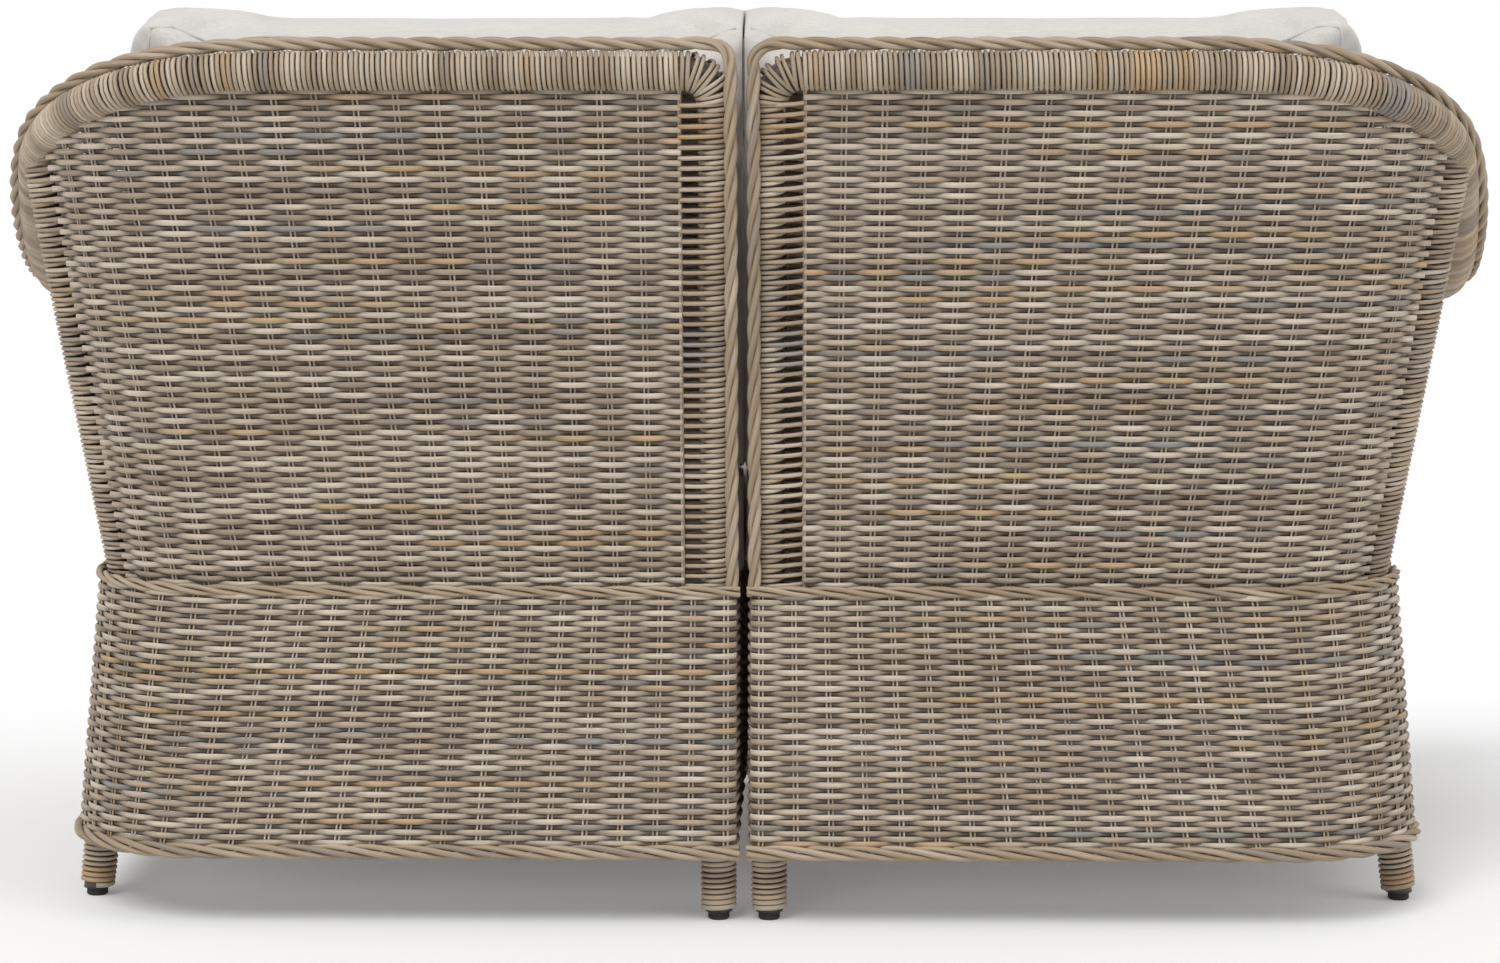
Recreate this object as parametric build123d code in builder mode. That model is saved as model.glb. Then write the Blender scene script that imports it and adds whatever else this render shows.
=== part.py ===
"""A two-piece woven patio loveseat: two free-standing halves, each with one arm and two cushions.

The sitter faces -Y and +Z is up, so the left half is on the +X side. The origin is on the floor, under the
middle of the object. Each half is drawn as the left one, and the right one is its mirror image.
"""

import math
import os

from build123d import *

# Overall sizes, in millimetres
half_depth = 450.0
seam_gap = 7.0
hem_height = 78.0
waist_height = 340.0
rail_height = 861.0
arm_height = 636.0
back_run = 83.0
arm_setback = 38.0

# Base: a woven skirt that widens towards the hem, and whose back corner is rounder at the waist
waist_side = 686.0
side_flare = 15.0
back_flare = 26.0
front_flare = 12.0
waist_corner = 190.0
hem_corner = 160.0
front_corner = 60.0
weave_thickness = 8.0

# Frame tube, its wicker wrapping and the braided borders
tube_radius = 14.0
tube_wall = 1.5
rail_wrap_radius = 20.5
post_wrap_radius = 18.0
inner_wrap_width = 58.0
rail_braid_radius = 6.5
waist_braid_radius = 6.0
hem_braid_radius = 9.0
braid_inset = 3.0
leg_strand = 4.5
leg_strand_gap = 0.5
leg_turns = 10

# Clearances
fit_gap = 0.3
snug_gap = 0.05
braid_gap = 1.2
stud_gap = 0.08

# Back, corner and arm line
corner_start = 546.0
corner_sweep = 180.0
corner_turn = 78.0
arm_bow = 2600.0
fall_lead = 60.0
fall_length = 720.0
outer_post_reach = 300.0
front_bend = 55.0
inner_bend = 30.0
waist_bend = 100.0
outer_post_turn = 20.0
outer_leg_splay = 36.0
outer_leg_setback = 3.0
front_leg_splay = 14.0
front_leg_step = 8.0
rail_step = 70.0
blend_share = 0.45
bow_share = 0.8
rail_setback = 25.6
braid_step = 40.0
braid_turn_start = 170.0
braid_turn_length = 280.0

# Panels: how far their outer faces stand off the frame's middle surface, at the waist and at the rail
panel_foot_face = 18.0
panel_head_face = 9.0
back_slices = 12
arm_slices = 12
lining_slices = 20

# Steps of the searches along a path, and points per arc where a wound strand's gap is measured
search_steps = 30
arc_points = 10

# Seat ring, slats and hem hoop
hoop_thickness = 4.0
hoop_height = 20.0
hoop_lift = 16.0
tab_width = 16.0
tab_height = 12.0
ring_width = 25.0
ring_height = 25.0
ring_wall = 2.0
slat_thickness = 5.0
slat_width = 45.0
slat_count = 8
stay_width = 25.0
stay_depth = 12.0
overrun = 50.0

# Feet
foot_radius = 11.0
foot_height = 8.0
foot_edge = 1.5
stud_radius = 4.0
stud_length = 20.0
plug_flange = 2.0
plug_length = 24.0

# Cushions
cushion_side = 8.0
seat_width = 610.0
seat_setback = 10.0
seat_play = 6.0
seat_thickness = 138.0
seat_crown = 12.0
seat_corner = 70.0
seat_rear_corner = 105.0
seat_round = 38.0
back_width = 608.0
back_rise = 60.0
back_thickness = 165.0
back_crown = 16.0
back_face_round = 50.0
back_plan_round = 55.0
back_rear_corner = 85.0
back_side_round = 55.0
top_bow = 6.0
base_tuck = 20.0
draw_in = 5.0
cover_thickness = 2.5

# Worked out from the sizes above
inner_side = seam_gap / 2
waist_back = half_depth - back_run
arm_front = half_depth - arm_setback
leg_inset = weave_thickness + hoop_thickness + tube_radius + 2 * fit_gap
hem_front = -(half_depth - (hem_braid_radius - braid_inset))
waist_front = hem_front + front_flare
rail_back = half_depth - rail_setback
post_x = inner_side + weave_thickness + fit_gap + tube_radius
post_y = waist_back - leg_inset
corner_x = waist_side - waist_corner
corner_y = waist_back - waist_corner
outer_post_x = corner_x + (waist_corner - leg_inset) * math.cos(math.radians(outer_post_turn))
outer_post_y = corner_y + (waist_corner - leg_inset) * math.sin(math.radians(outer_post_turn))
front_diagonal = (front_corner - leg_inset) / math.sqrt(2)
front_post_x = waist_side - front_corner + front_diagonal
front_post_y = waist_front + front_corner - front_diagonal
ring_inset = leg_inset
deck_height = waist_height - waist_braid_radius
wall_foot = waist_height + waist_braid_radius + fit_gap
fall = rail_height - arm_height
tube_end = foot_height + fit_gap + plug_flange
wall_lean = math.atan2(rail_back - post_y, rail_height - waist_height)
braid_reach = rail_wrap_radius + braid_gap + rail_braid_radius
braid_edge = inner_side + braid_gap + rail_braid_radius
inner_wrap_offset = inner_wrap_width / 2 - post_wrap_radius
lining_face = -(post_wrap_radius + fit_gap)
bore_height = ring_height - 2 * ring_wall
seat_bottom = deck_height + fit_gap
seat_front = -waist_front - seat_setback
seat_rear = post_y + lining_face - weave_thickness - seat_play
back_top = rail_height + back_rise

# Each leg's centre at the floor and at the waist
legs = {
    "back_inner": (Vector(post_x, post_y, 0), Vector(post_x, post_y, waist_height)),
    "back_outer": (
        Vector(outer_post_x + outer_leg_splay, outer_post_y + outer_leg_setback, 0),
        Vector(outer_post_x, outer_post_y, waist_height),
    ),
    "front_inner": (
        Vector(post_x, waist_front + leg_inset, 0),
        Vector(post_x, waist_front + leg_inset, waist_height),
    ),
    "front_outer": (
        Vector(front_post_x + front_leg_splay, front_post_y - front_leg_step, 0),
        Vector(front_post_x, front_post_y, waist_height),
    ),
}


def turned_radii(points, limits):
    """The largest fillet that each corner of a line of points leaves room for, within the limits given."""
    radii = []
    for index in range(1, len(points) - 1):
        before = points[index] - points[index - 1]
        after = points[index + 1] - points[index]
        turn = math.radians(before.get_angle(after))
        radius = blend_share * min(before.length, after.length) / math.tan(turn / 2)
        radii.append(min(radius, limits.get(index, radius)))
    return radii


def path_through(points, limits):
    """A line of straight runs joined by tangent arcs."""
    with BuildLine() as line:
        FilletPolyline(*points, radius=turned_radii(points, limits))
    return line.wire()


def rail_point(run):
    """The rail's centre line: level across the back, round the corner and down to the arm."""
    before_corner = fall_lead - run
    sweep_length = corner_sweep * math.radians(corner_turn)
    if before_corner > 0:
        x = corner_start - before_corner
        y = rail_back
    elif -before_corner < sweep_length:
        angle = -before_corner / corner_sweep
        x = corner_start + corner_sweep * math.sin(angle)
        y = rail_back - corner_sweep * (1 - math.cos(angle))
    else:
        start = math.radians(corner_turn)
        angle = start + (-before_corner - sweep_length) / arm_bow
        x = corner_start + corner_sweep * math.sin(start) + arm_bow * (math.sin(angle) - math.sin(start))
        y = rail_back - corner_sweep * (1 - math.cos(start)) - arm_bow * (math.cos(start) - math.cos(angle))
    lowered = fall * (1 - math.cos(math.pi * min(max(run, 0) / fall_length, 1))) / 2
    return Vector(x, y, rail_height - lowered)


def rail_runs():
    """Distances along the rail at which its line is fixed, from the level stretch to the front of the arm."""
    runs = [0.0]
    while rail_point(runs[-1] + rail_step).Y > front_bend - arm_front:
        runs.append(runs[-1] + rail_step)
    return runs


def hoop_line():
    """The hoop tube: inner back leg and post, rail, arm, front post and outer front leg, as one bent line."""
    foot, waist = legs["back_inner"]
    front_foot, front_waist = legs["front_outer"]
    rail = [rail_point(run) for run in rail_runs()]
    bend = Vector(rail[-1].X, -arm_front, arm_height)
    points = [foot, waist, Vector(post_x, rail_back, rail_height), *rail, bend, front_waist, front_foot]
    limits = {1: waist_bend, 2: inner_bend, len(points) - 3: front_bend, len(points) - 2: waist_bend}
    return path_through(points, limits)


def share_at(path, low, high, reached):
    """The share of a path's length at which a test first holds, between two shares."""
    for _ in range(search_steps):
        middle = (low + high) / 2
        if reached(path @ middle):
            high = middle
        else:
            low = middle
    return high


hoop_path = hoop_line()
rail_share = share_at(hoop_path, 0, 1, lambda p: p.X > corner_start / 2)
arm_share = share_at(hoop_path, rail_share, 1, lambda p: p.Y < 0)
outer_post_top = rail_point(outer_post_reach)
outer_head_share = share_at(hoop_path, rail_share, arm_share, lambda p: p.Y < outer_post_top.Y)
front_head_share = share_at(hoop_path, arm_share, 1, lambda p: p.Z < arm_height - front_bend)
post_top_share = share_at(hoop_path, 0, rail_share, lambda p: p.Z > rail_height - inner_bend)
arm_end_share = share_at(hoop_path, arm_share, 1, lambda p: p.Y < front_bend - arm_front)


def sleeve(path, outer, inner):
    """A round tube along a path."""
    with BuildPart() as tube:
        with BuildSketch(Plane(path @ 0, z_dir=path % 0)):
            Circle(outer)
            Circle(inner, mode=Mode.SUBTRACT)
        sweep(path=path)
    return tube.part


def rope(path, radius):
    """A round border along a path."""
    with BuildPart() as border:
        with BuildSketch(Plane(path @ 0, z_dir=path % 0)):
            Circle(radius)
        sweep(path=path)
    return border.part


def above(part, height):
    """What is left of a part over a level cut."""
    return split(part, bisect_by=Plane.XY.offset(height), keep=Keep.TOP)


def stretch(start, end):
    """The stretch of the hoop's line between two shares of its length."""
    return hoop_path.trim(start, end)


def frame_hoop():
    """The bent tube, open at both of its feet."""
    return above(sleeve(hoop_path, tube_radius, tube_radius - tube_wall), tube_end)


def outer_post_path():
    """The line of the outer back leg and post, bent at the waist."""
    foot, waist = legs["back_outer"]
    return path_through([foot, waist, outer_post_top], {1: waist_bend})


def outer_back_post():
    """The outer back leg and post, one tube bent at the waist and coped under the rail."""
    post = above(sleeve(outer_post_path(), tube_radius, tube_radius - tube_wall), tube_end)
    return post - rope(stretch(rail_share, arm_share), tube_radius + snug_gap)


def inner_front_leg():
    """A straight leg that ends under the seat deck."""
    foot, waist = legs["front_inner"]
    with BuildPart() as leg:
        with BuildSketch(Plane.XY.offset(tube_end)):
            with Locations((foot.X, foot.Y)):
                Circle(tube_radius)
                Circle(tube_radius - tube_wall, mode=Mode.SUBTRACT)
        extrude(amount=deck_height - slat_thickness - tube_end)
    return leg.part


def base_reach(height, inset):
    """Side, back, front and back corner radius of the base at one height, drawn in from its outer face."""
    spread = (waist_height - height) / (waist_height - hem_height)
    side = waist_side + spread * side_flare - inset
    back = waist_back + spread * back_flare - inset
    front = waist_front - spread * front_flare + inset
    corner = waist_corner + spread * (hem_corner - waist_corner) - inset
    return side, back, front, corner


def base_outline(level, height, inset):
    """A face on one level with the base's plan outline at a height."""
    side, back, front, corner = base_reach(height, inset)
    inner = inner_side + inset
    with BuildSketch(Plane.XY.offset(level)) as outline:
        with BuildLine():
            edge = Line((inner, back), (inner, front))
            FilletPolyline(
                edge @ 1,
                (side, front),
                (side, back),
                edge @ 0,
                radius=[max(front_corner - inset, 0), corner],
            )
        make_face()
    return outline.sketch


def level_block(bottom, height, inset):
    """A flat block with the base's plan outline at the waist, drawn in from its outer face."""
    with BuildPart() as block:
        extrude(base_outline(bottom, waist_height, inset).face(), amount=height)
    return block.part


def flared_block(bottom, top, inset):
    """The space inside the base between two heights, drawn in from its outer face."""
    with BuildPart() as block:
        loft([base_outline(bottom, bottom, inset), base_outline(top, top, inset)], ruled=True)
    return block.part


def flared_band(bottom, top, inset, wall):
    """A ring of wall that follows the flare of the base."""
    return flared_block(bottom, top, inset) - flared_block(bottom, top, inset + wall)


def border_path(height, inset):
    """The line of a braided border: round the back, side and front of the base, open along the seam."""
    side, back, front, corner = base_reach(height, inset)
    with BuildLine(Plane.XY.offset(height)) as line:
        FilletPolyline(
            (inner_side, back),
            (side, back),
            (side, front),
            (inner_side, front),
            radius=[corner, front_corner - inset],
        )
    return line.wire()


def base_weave():
    """The skirt, from over the hem braid to under the waist braid."""
    bottom = hem_height + hem_braid_radius + fit_gap
    top = waist_height - waist_braid_radius - fit_gap
    return flared_band(bottom, top, 0, weave_thickness)


def clear_of_legs(part):
    """A part cut round the leg tubes that it meets."""
    for name in legs:
        with BuildPart() as leg:
            with BuildSketch(leg_plane(name, 0)):
                Circle(tube_radius + snug_gap)
            extrude(amount=waist_height + overrun)
        part = part - leg.part
    return part


def seat_ring():
    """The square tube that carries the slats, welded between the legs."""
    bottom = deck_height - slat_thickness - ring_height
    outer = level_block(bottom, ring_height, ring_inset)
    inner = level_block(bottom, ring_height, ring_inset + ring_width)
    bore_outer = level_block(bottom + ring_wall, bore_height, ring_inset + ring_wall)
    bore_inner = level_block(bottom + ring_wall, bore_height, ring_inset + ring_width - ring_wall)
    return clear_of_legs(outer - inner - (bore_outer - bore_inner))


def seat_slats():
    """Flat slats from side to side over the seat ring, cut to its outline and round the back's stay."""
    bottom = deck_height - slat_thickness
    front = waist_front + ring_inset
    depth = waist_back - ring_inset - front
    pitch = (depth - slat_width) / (slat_count - 1)
    with BuildPart() as slats:
        with BuildSketch(Plane.XY.offset(bottom)):
            for index in range(slat_count):
                with Locations((waist_side / 2, front + slat_width / 2 + index * pitch)):
                    Rectangle(waist_side, slat_width)
        extrude(amount=slat_thickness)
        add(level_block(bottom, slat_thickness, ring_inset), mode=Mode.INTERSECT)
    return clear_of_legs(slats.part) - stay_bar(snug_gap)


def leg_plane(name, height):
    """A plane square to a leg, where its centre line passes a height."""
    foot, waist = legs[name]
    along = (waist - foot).normalized()
    return Plane(foot + along * (height / along.Z), z_dir=along)


def hem_hoop():
    """The flat bar inside the hem, with a tab to each leg."""
    bottom = hem_height + hoop_lift
    inset = weave_thickness + fit_gap
    outward = {"back_inner": (0, 1), "back_outer": (1, 0), "front_inner": (0, -1), "front_outer": (1, -1)}
    with BuildPart() as hoop:
        for name, direction in outward.items():
            centre = leg_plane(name, bottom + hoop_height / 2).origin
            with BuildSketch(Plane((centre.X, centre.Y, bottom), x_dir=(*direction, 0), z_dir=(0, 0, 1))):
                with Locations((overrun / 2, 0)):
                    Rectangle(overrun, tab_width)
            extrude(amount=tab_height)
        add(flared_block(bottom, bottom + hoop_height, inset), mode=Mode.INTERSECT)
        add(flared_band(bottom, bottom + hoop_height, inset, hoop_thickness))
    return clear_of_legs(hoop.part)


def waist_line():
    """The foot of the back and arm's middle surface at the waist, from the inner to the front post."""
    side = waist_side - leg_inset
    with BuildLine(Plane.XY.offset(waist_height)) as line:
        back = Line((post_x, post_y), (corner_x, post_y))
        corner = TangentArc(back @ 1, (side, corner_y), tangent=back % 1)
        arm = Line(corner @ 1, (side, waist_front + front_corner))
        TangentArc(arm @ 1, (front_post_x, front_post_y), tangent=arm % 1)
    return line.wire()


waist_path = waist_line()
outer_foot_share = share_at(waist_path, 0, 1, lambda p: p.Y < outer_post_y + snug_gap)


def panel_section(waist_share, hoop_share, foot_face, head_face):
    """One upright slice of a woven panel, between the waist and the underside of the rail."""
    foot = waist_path @ waist_share
    head = hoop_path @ hoop_share
    upward = (head - foot).normalized()
    outward = upward.cross(waist_path % waist_share).normalized()
    near = min(abs(head_face), abs(head_face - weave_thickness))
    tuck = math.sqrt(rail_wrap_radius**2 - near**2) + fit_gap
    height = (head - foot).length - tuck
    corners = [
        (foot_face - weave_thickness, 0),
        (foot_face, 0),
        (head_face, height),
        (head_face - weave_thickness, height),
    ]
    with BuildSketch(Plane(foot, x_dir=outward, z_dir=outward.cross(upward))) as section:
        with BuildLine():
            Polyline(*corners, close=True)
        make_face()
    return section.sketch


def panel(waist_shares, hoop_shares, foot_face, head_face, slices):
    """A woven panel between stretches of the waist line and the hoop, cut round the wrapped rail and post."""
    sections = []
    for index in range(slices + 1):
        part_way = index / slices
        waist_share = waist_shares[0] + part_way * (waist_shares[1] - waist_shares[0])
        hoop_share = hoop_shares[0] + part_way * (hoop_shares[1] - hoop_shares[0])
        sections.append(panel_section(waist_share, hoop_share, foot_face, head_face))
    with BuildPart() as woven:
        loft(sections)
    rail = rope(stretch(post_top_share, front_head_share), rail_wrap_radius + snug_gap)
    post = rope(outer_post_path(), post_wrap_radius + snug_gap)
    return above(woven.part - rail - post, wall_foot)


def along(path, length):
    """A length as a share of a path."""
    return length / path.length


def back_weave():
    """The woven outer face of the back, between the wraps of its two posts."""
    beside_inner = inner_wrap_width - post_wrap_radius + fit_gap
    beside_outer = post_wrap_radius + fit_gap
    head_start = share_at(hoop_path, 0, rail_share, lambda p: p.X > post_x + beside_inner)
    waist_shares = (along(waist_path, beside_inner), outer_foot_share - along(waist_path, beside_outer))
    head_shares = (head_start, outer_head_share - along(hoop_path, beside_outer))
    return panel(waist_shares, head_shares, panel_foot_face, panel_head_face, back_slices)


def arm_weave():
    """The woven outer face of the arm, from the outer back post to the front post."""
    beside = post_wrap_radius + fit_gap
    waist_shares = (outer_foot_share + along(waist_path, beside), 1 - along(waist_path, beside))
    head_shares = (outer_head_share + along(hoop_path, beside), arm_end_share)
    return panel(waist_shares, head_shares, panel_foot_face, panel_head_face, arm_slices)


def inner_lining():
    """The woven inner face of the back and arm, in one piece over the inner sides of the posts."""
    beside = inner_wrap_width - post_wrap_radius + fit_gap
    head_start = share_at(hoop_path, 0, rail_share, lambda p: p.X > post_x + beside)
    waist_shares = (along(waist_path, beside), 1 - along(waist_path, post_wrap_radius))
    return panel(waist_shares, (head_start, arm_end_share), lining_face, lining_face, lining_slices)


def rail_wrap():
    """Strand wound round the rail and arm, from the inner top corner to the arm's front bend."""
    wrap = sleeve(stretch(post_top_share, front_head_share), rail_wrap_radius, tube_radius + snug_gap)
    return wrap - rope(outer_post_path(), tube_radius + fit_gap) - stay_bar(snug_gap)


def inner_post_wrap():
    """Strand wound round the inner post, wider than the tube because it takes in the panel's edge."""
    path = stretch(0, post_top_share)
    with BuildPart() as wrap:
        with BuildSketch(Plane(path @ 0, x_dir=(1, 0, 0), z_dir=path % 0)):
            with Locations((inner_wrap_offset, 0)):
                SlotOverall(inner_wrap_width, 2 * post_wrap_radius)
            Circle(tube_radius + snug_gap, mode=Mode.SUBTRACT)
        sweep(path=path)
    return above(wrap.part, wall_foot)


def outer_post_wrap():
    """Strand wound round the outer back post, up to the wrapped rail."""
    wrap = sleeve(outer_post_path(), post_wrap_radius, tube_radius + snug_gap)
    return above(wrap, wall_foot) - rope(stretch(rail_share, arm_share), rail_wrap_radius + snug_gap)


def front_post_wrap():
    """Strand wound round the front post, from the arm's bend to the waist."""
    return above(sleeve(stretch(front_head_share, 1), post_wrap_radius, tube_radius + snug_gap), wall_foot)


def stay_bar(margin):
    """A flat bar up the middle of the back, in front of the weave, from the seat ring to the rail."""
    middle = (post_x + corner_start) / 2
    front = -tube_radius
    bend = front * math.tan(wall_lean / 2)
    rise = (rail_height - waist_height) / math.cos(wall_lean)
    head = Vector(math.sin(wall_lean), math.cos(wall_lean)) * rise + Vector(post_y, waist_height)
    lean = Vector(math.cos(wall_lean), -math.sin(wall_lean))
    ring_top = deck_height - slat_thickness
    near = front - margin
    far = front + stay_depth + margin
    corners = [
        (post_y + near, ring_top),
        (post_y + near, waist_height + bend),
        head + lean * near,
        head + lean * far,
        (post_y + far, waist_height + bend * far / front),
        (post_y + far, ring_top),
    ]
    with BuildPart() as bar:
        with BuildSketch(Plane((middle, 0, 0), x_dir=(0, 1, 0), z_dir=(1, 0, 0))):
            with BuildLine():
                Polyline(*corners, close=True)
            make_face()
        extrude(amount=stay_width / 2 + margin, both=True)
    return bar.part


def back_stay():
    """The stay of the back, coped under the rail's tube."""
    return stay_bar(0) - rope(stretch(post_top_share, outer_head_share), tube_radius + snug_gap)


def braid_offset(run):
    """From the rail's centre to the rail braid: on its crest at the back, on its outer side along the arm."""
    part_way = min(max((run - braid_turn_start) / braid_turn_length, 0), 1)
    angle = math.pi / 4 * (1 + math.cos(math.pi * part_way))
    heading = (rail_point(run + fit_gap) - rail_point(run)).normalized()
    outward = Vector(-heading.Y, heading.X, 0).normalized()
    return (outward * math.cos(angle) + heading.cross(outward) * math.sin(angle)) * braid_reach


def behind_post(height, reach):
    """A point of the rail braid beside the seam, a distance behind the inner post's centre line."""
    axis_y = post_y + (height - waist_height) * math.tan(wall_lean)
    return Vector(braid_edge, axis_y + reach * math.cos(wall_lean), height - reach * math.sin(wall_lean))


def rail_braid():
    """The braided border up the inner post, round its top corner, along the rail and down the front."""
    beside = post_x - braid_edge
    low_reach = math.sqrt((post_wrap_radius + fit_gap + rail_braid_radius) ** 2 - beside**2)
    high_reach = math.sqrt(braid_reach**2 - beside**2)
    crest = rail_height + braid_reach
    bend_height = rail_height - inner_bend - braid_step
    rail = [rail_point(run) + braid_offset(run) for run in rail_runs()]
    last_run = rail_runs()[-1]
    bend = Vector(rail_point(last_run).X, -arm_front, arm_height)
    front_waist = legs["front_outer"][1]
    slope = (bend - front_waist).normalized()
    side = Vector(slope.Z, 0, -slope.X).normalized() * braid_reach
    front_foot = front_waist + slope * ((wall_foot + braid_reach - waist_height) / slope.Z)
    points = [
        behind_post(wall_foot, low_reach),
        behind_post(bend_height, low_reach),
        behind_post(rail_height - inner_bend / 2, high_reach),
        Vector(braid_edge, rail_back + high_reach / 2, crest),
        Vector(braid_edge + inner_bend + braid_step, rail_back, crest),
        *rail,
        bend + side,
        front_foot + side,
    ]
    path = path_through(points, {3: inner_bend, len(points) - 2: front_bend})
    return above(rope(path, rail_braid_radius), wall_foot)


def waist_braid():
    """The braided border where the back and arm meet the skirt."""
    return rope(border_path(waist_height, braid_inset), waist_braid_radius)


def hem_braid():
    """The braided border at the foot of the skirt, pressed flat where it passes a leg."""
    return clear_of_legs(rope(border_path(hem_height, braid_inset), hem_braid_radius))


def coil_place(plane, angle):
    """Point and direction of the strand round a leg, at an angle along its turns."""
    radius = tube_radius + snug_gap + leg_strand / 2
    rise = (leg_strand + leg_strand_gap) / (2 * math.pi)
    point = plane.from_local_coords(Vector(radius * math.cos(angle), radius * math.sin(angle), rise * angle))
    ahead = Vector(-radius * math.sin(angle), radius * math.cos(angle), rise)
    return point, (plane.from_local_coords(ahead) - plane.origin).normalized()


def biarc_middle(start, start_way, end, end_way):
    """Where two arcs meet that leave one point and reach another in given directions."""
    chord = end - start
    ways = start_way + end_way
    bend = 2 * (1 - start_way.dot(end_way))
    pull = 2 * chord.dot(ways)
    reach = (math.sqrt(pull**2 + 4 * bend * chord.length**2) - pull) / (2 * bend)
    return (start + end + (start_way - end_way) * reach) / 2


def coil_path(name):
    """The line of the strand wound round a leg, with short straight ends."""
    plane = leg_plane(name, tube_end + leg_strand)
    places = [coil_place(plane, index * math.pi / 2) for index in range(4 * leg_turns + 1)]
    with BuildLine() as line:
        Line(places[0][0] - places[0][1] * leg_strand, places[0][0])
        for (start, start_way), (end, end_way) in zip(places, places[1:]):
            middle = biarc_middle(start, start_way, end, end_way)
            first = TangentArc(start, middle, tangent=start_way)
            TangentArc(middle, end, tangent=first % 1)
        Line(places[-1][0], places[-1][0] + places[-1][1] * leg_strand)
    return line.wire()


def least_coil_gap(path):
    """The least gap between two turns of a wound strand, measured on points of its line."""
    half_turn = 4 * arc_points
    points = [tuple(edge @ (step / arc_points)) for edge in path.edges() for step in range(arc_points)]
    least = min(
        math.dist(points[early], points[late])
        for early in range(0, len(points), arc_points)
        for late in range(early + half_turn, len(points))
    )
    return least - leg_strand


def leg_wraps():
    """The strand wound round each leg between its foot and the hem."""
    wraps = []
    for name in legs:
        path = coil_path(name)
        wraps.append(rope(path, leg_strand / 2))
        print(name, "leg wrap, least gap between turns:", round(least_coil_gap(path), 2), "mm")
    return Compound(children=wraps)


def leg_plugs():
    """A plug in the end of each leg, with a flange under the tube and a bore for its foot's stud."""
    floor = foot_height + fit_gap
    plugs = []
    for name in legs:
        centre = foot_centre(name)
        with BuildPart() as plug:
            with BuildSketch(leg_plane(name, 0)):
                Circle(tube_radius - tube_wall - snug_gap)
            extrude(amount=tube_end + plug_length)
            split(bisect_by=Plane.XY.offset(tube_end), keep=Keep.TOP)
            with BuildSketch(Plane.XY.offset(floor)):
                with Locations((centre.X, centre.Y)):
                    Circle(tube_radius)
            extrude(amount=plug_flange)
            with BuildSketch(Plane.XY.offset(floor)):
                with Locations((centre.X, centre.Y)):
                    Circle(stud_radius + stud_gap)
            extrude(amount=overrun, mode=Mode.SUBTRACT)
        plugs.append(plug.part)
    return Compound(children=plugs)


def foot_centre(name):
    """Where a leg's centre line passes the top of its foot."""
    return leg_plane(name, foot_height).origin


def leg_foot(name):
    """A levelling foot: a round glide on a threaded stud."""
    centre = foot_centre(name)
    with BuildPart() as foot:
        with BuildSketch():
            with Locations((centre.X, centre.Y)):
                Circle(foot_radius)
        extrude(amount=foot_height)
        chamfer(foot.edges().group_by(Axis.Z)[0], length=foot_edge)
        with BuildSketch(Plane.XY.offset(foot_height)):
            with Locations((centre.X, centre.Y)):
                Circle(stud_radius)
        extrude(amount=stud_length)
    return foot.part


def cushion_outline(plane, width, height, bows, rounds):
    """An outline with rounded corners and bowed sides; both run from the lower left round by the right."""
    x = width / 2
    y = height / 2
    corners = [Vector(-x, -y), Vector(x, -y), Vector(x, y), Vector(-x, y)]
    points = []
    radii = []
    for index in range(4):
        start = corners[index]
        chord = corners[(index + 1) % 4] - start
        points.append(start)
        radii.append(rounds[index])
        if bows[index] != 0:
            normal = Vector(chord.Y, -chord.X).normalized()
            rounded = (chord.length / 2 - max(rounds[index], rounds[(index + 1) % 4])) * bow_share
            peak = bows[index] * chord.length / (chord.length - rounded)
            points.append(start + chord / 2 + normal * peak)
            radii.append(rounded * chord.length / 2 / abs(peak))
    with BuildSketch(plane) as outline:
        with BuildLine():
            FilletPolyline(*points, radius=radii, close=True)
        make_face()
    return outline.sketch


def pillow(frame, size, bows, corners, inset):
    """A cushion: what three rounded outlines along X, Y and Z of its own frame have in common."""
    width, depth, height = (length - 2 * inset for length in size)
    outlines = [
        (Plane(frame.origin, x_dir=frame.x_dir, z_dir=frame.z_dir), width, depth, "plan"),
        (Plane(frame.origin, x_dir=frame.x_dir, z_dir=-frame.y_dir), width, height, "front"),
        (Plane(frame.origin, x_dir=frame.y_dir, z_dir=frame.x_dir), depth, height, "side"),
    ]
    mode = Mode.ADD
    with BuildPart() as body:
        for plane, across, upright, name in outlines:
            rounds = [radius - inset for radius in corners[name]]
            outline = cushion_outline(plane, across, upright, bows[name], rounds)
            extrude(outline, amount=max(size), both=True, mode=mode)
            mode = Mode.INTERSECT
    return body.part


def seat_cushion(inset):
    """The seat cushion: flat underneath, crowned on top, its sides drawn in between its corners."""
    height = seat_thickness - seat_crown
    depth = seat_rear + seat_front
    middle = (cushion_side + seat_width / 2, (seat_rear - seat_front) / 2, seat_bottom + height / 2)
    bows = {
        "plan": (-draw_in, -draw_in, -draw_in, -draw_in),
        "front": (0, 0, seat_crown, 0),
        "side": (0, 0, seat_crown, 0),
    }
    plan = (seat_corner, seat_corner, seat_rear_corner, seat_corner)
    corners = {"plan": plan, "front": (seat_round,) * 4, "side": (seat_round,) * 4}
    return pillow(Plane(middle), (seat_width, depth, height), bows, corners, inset)


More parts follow.
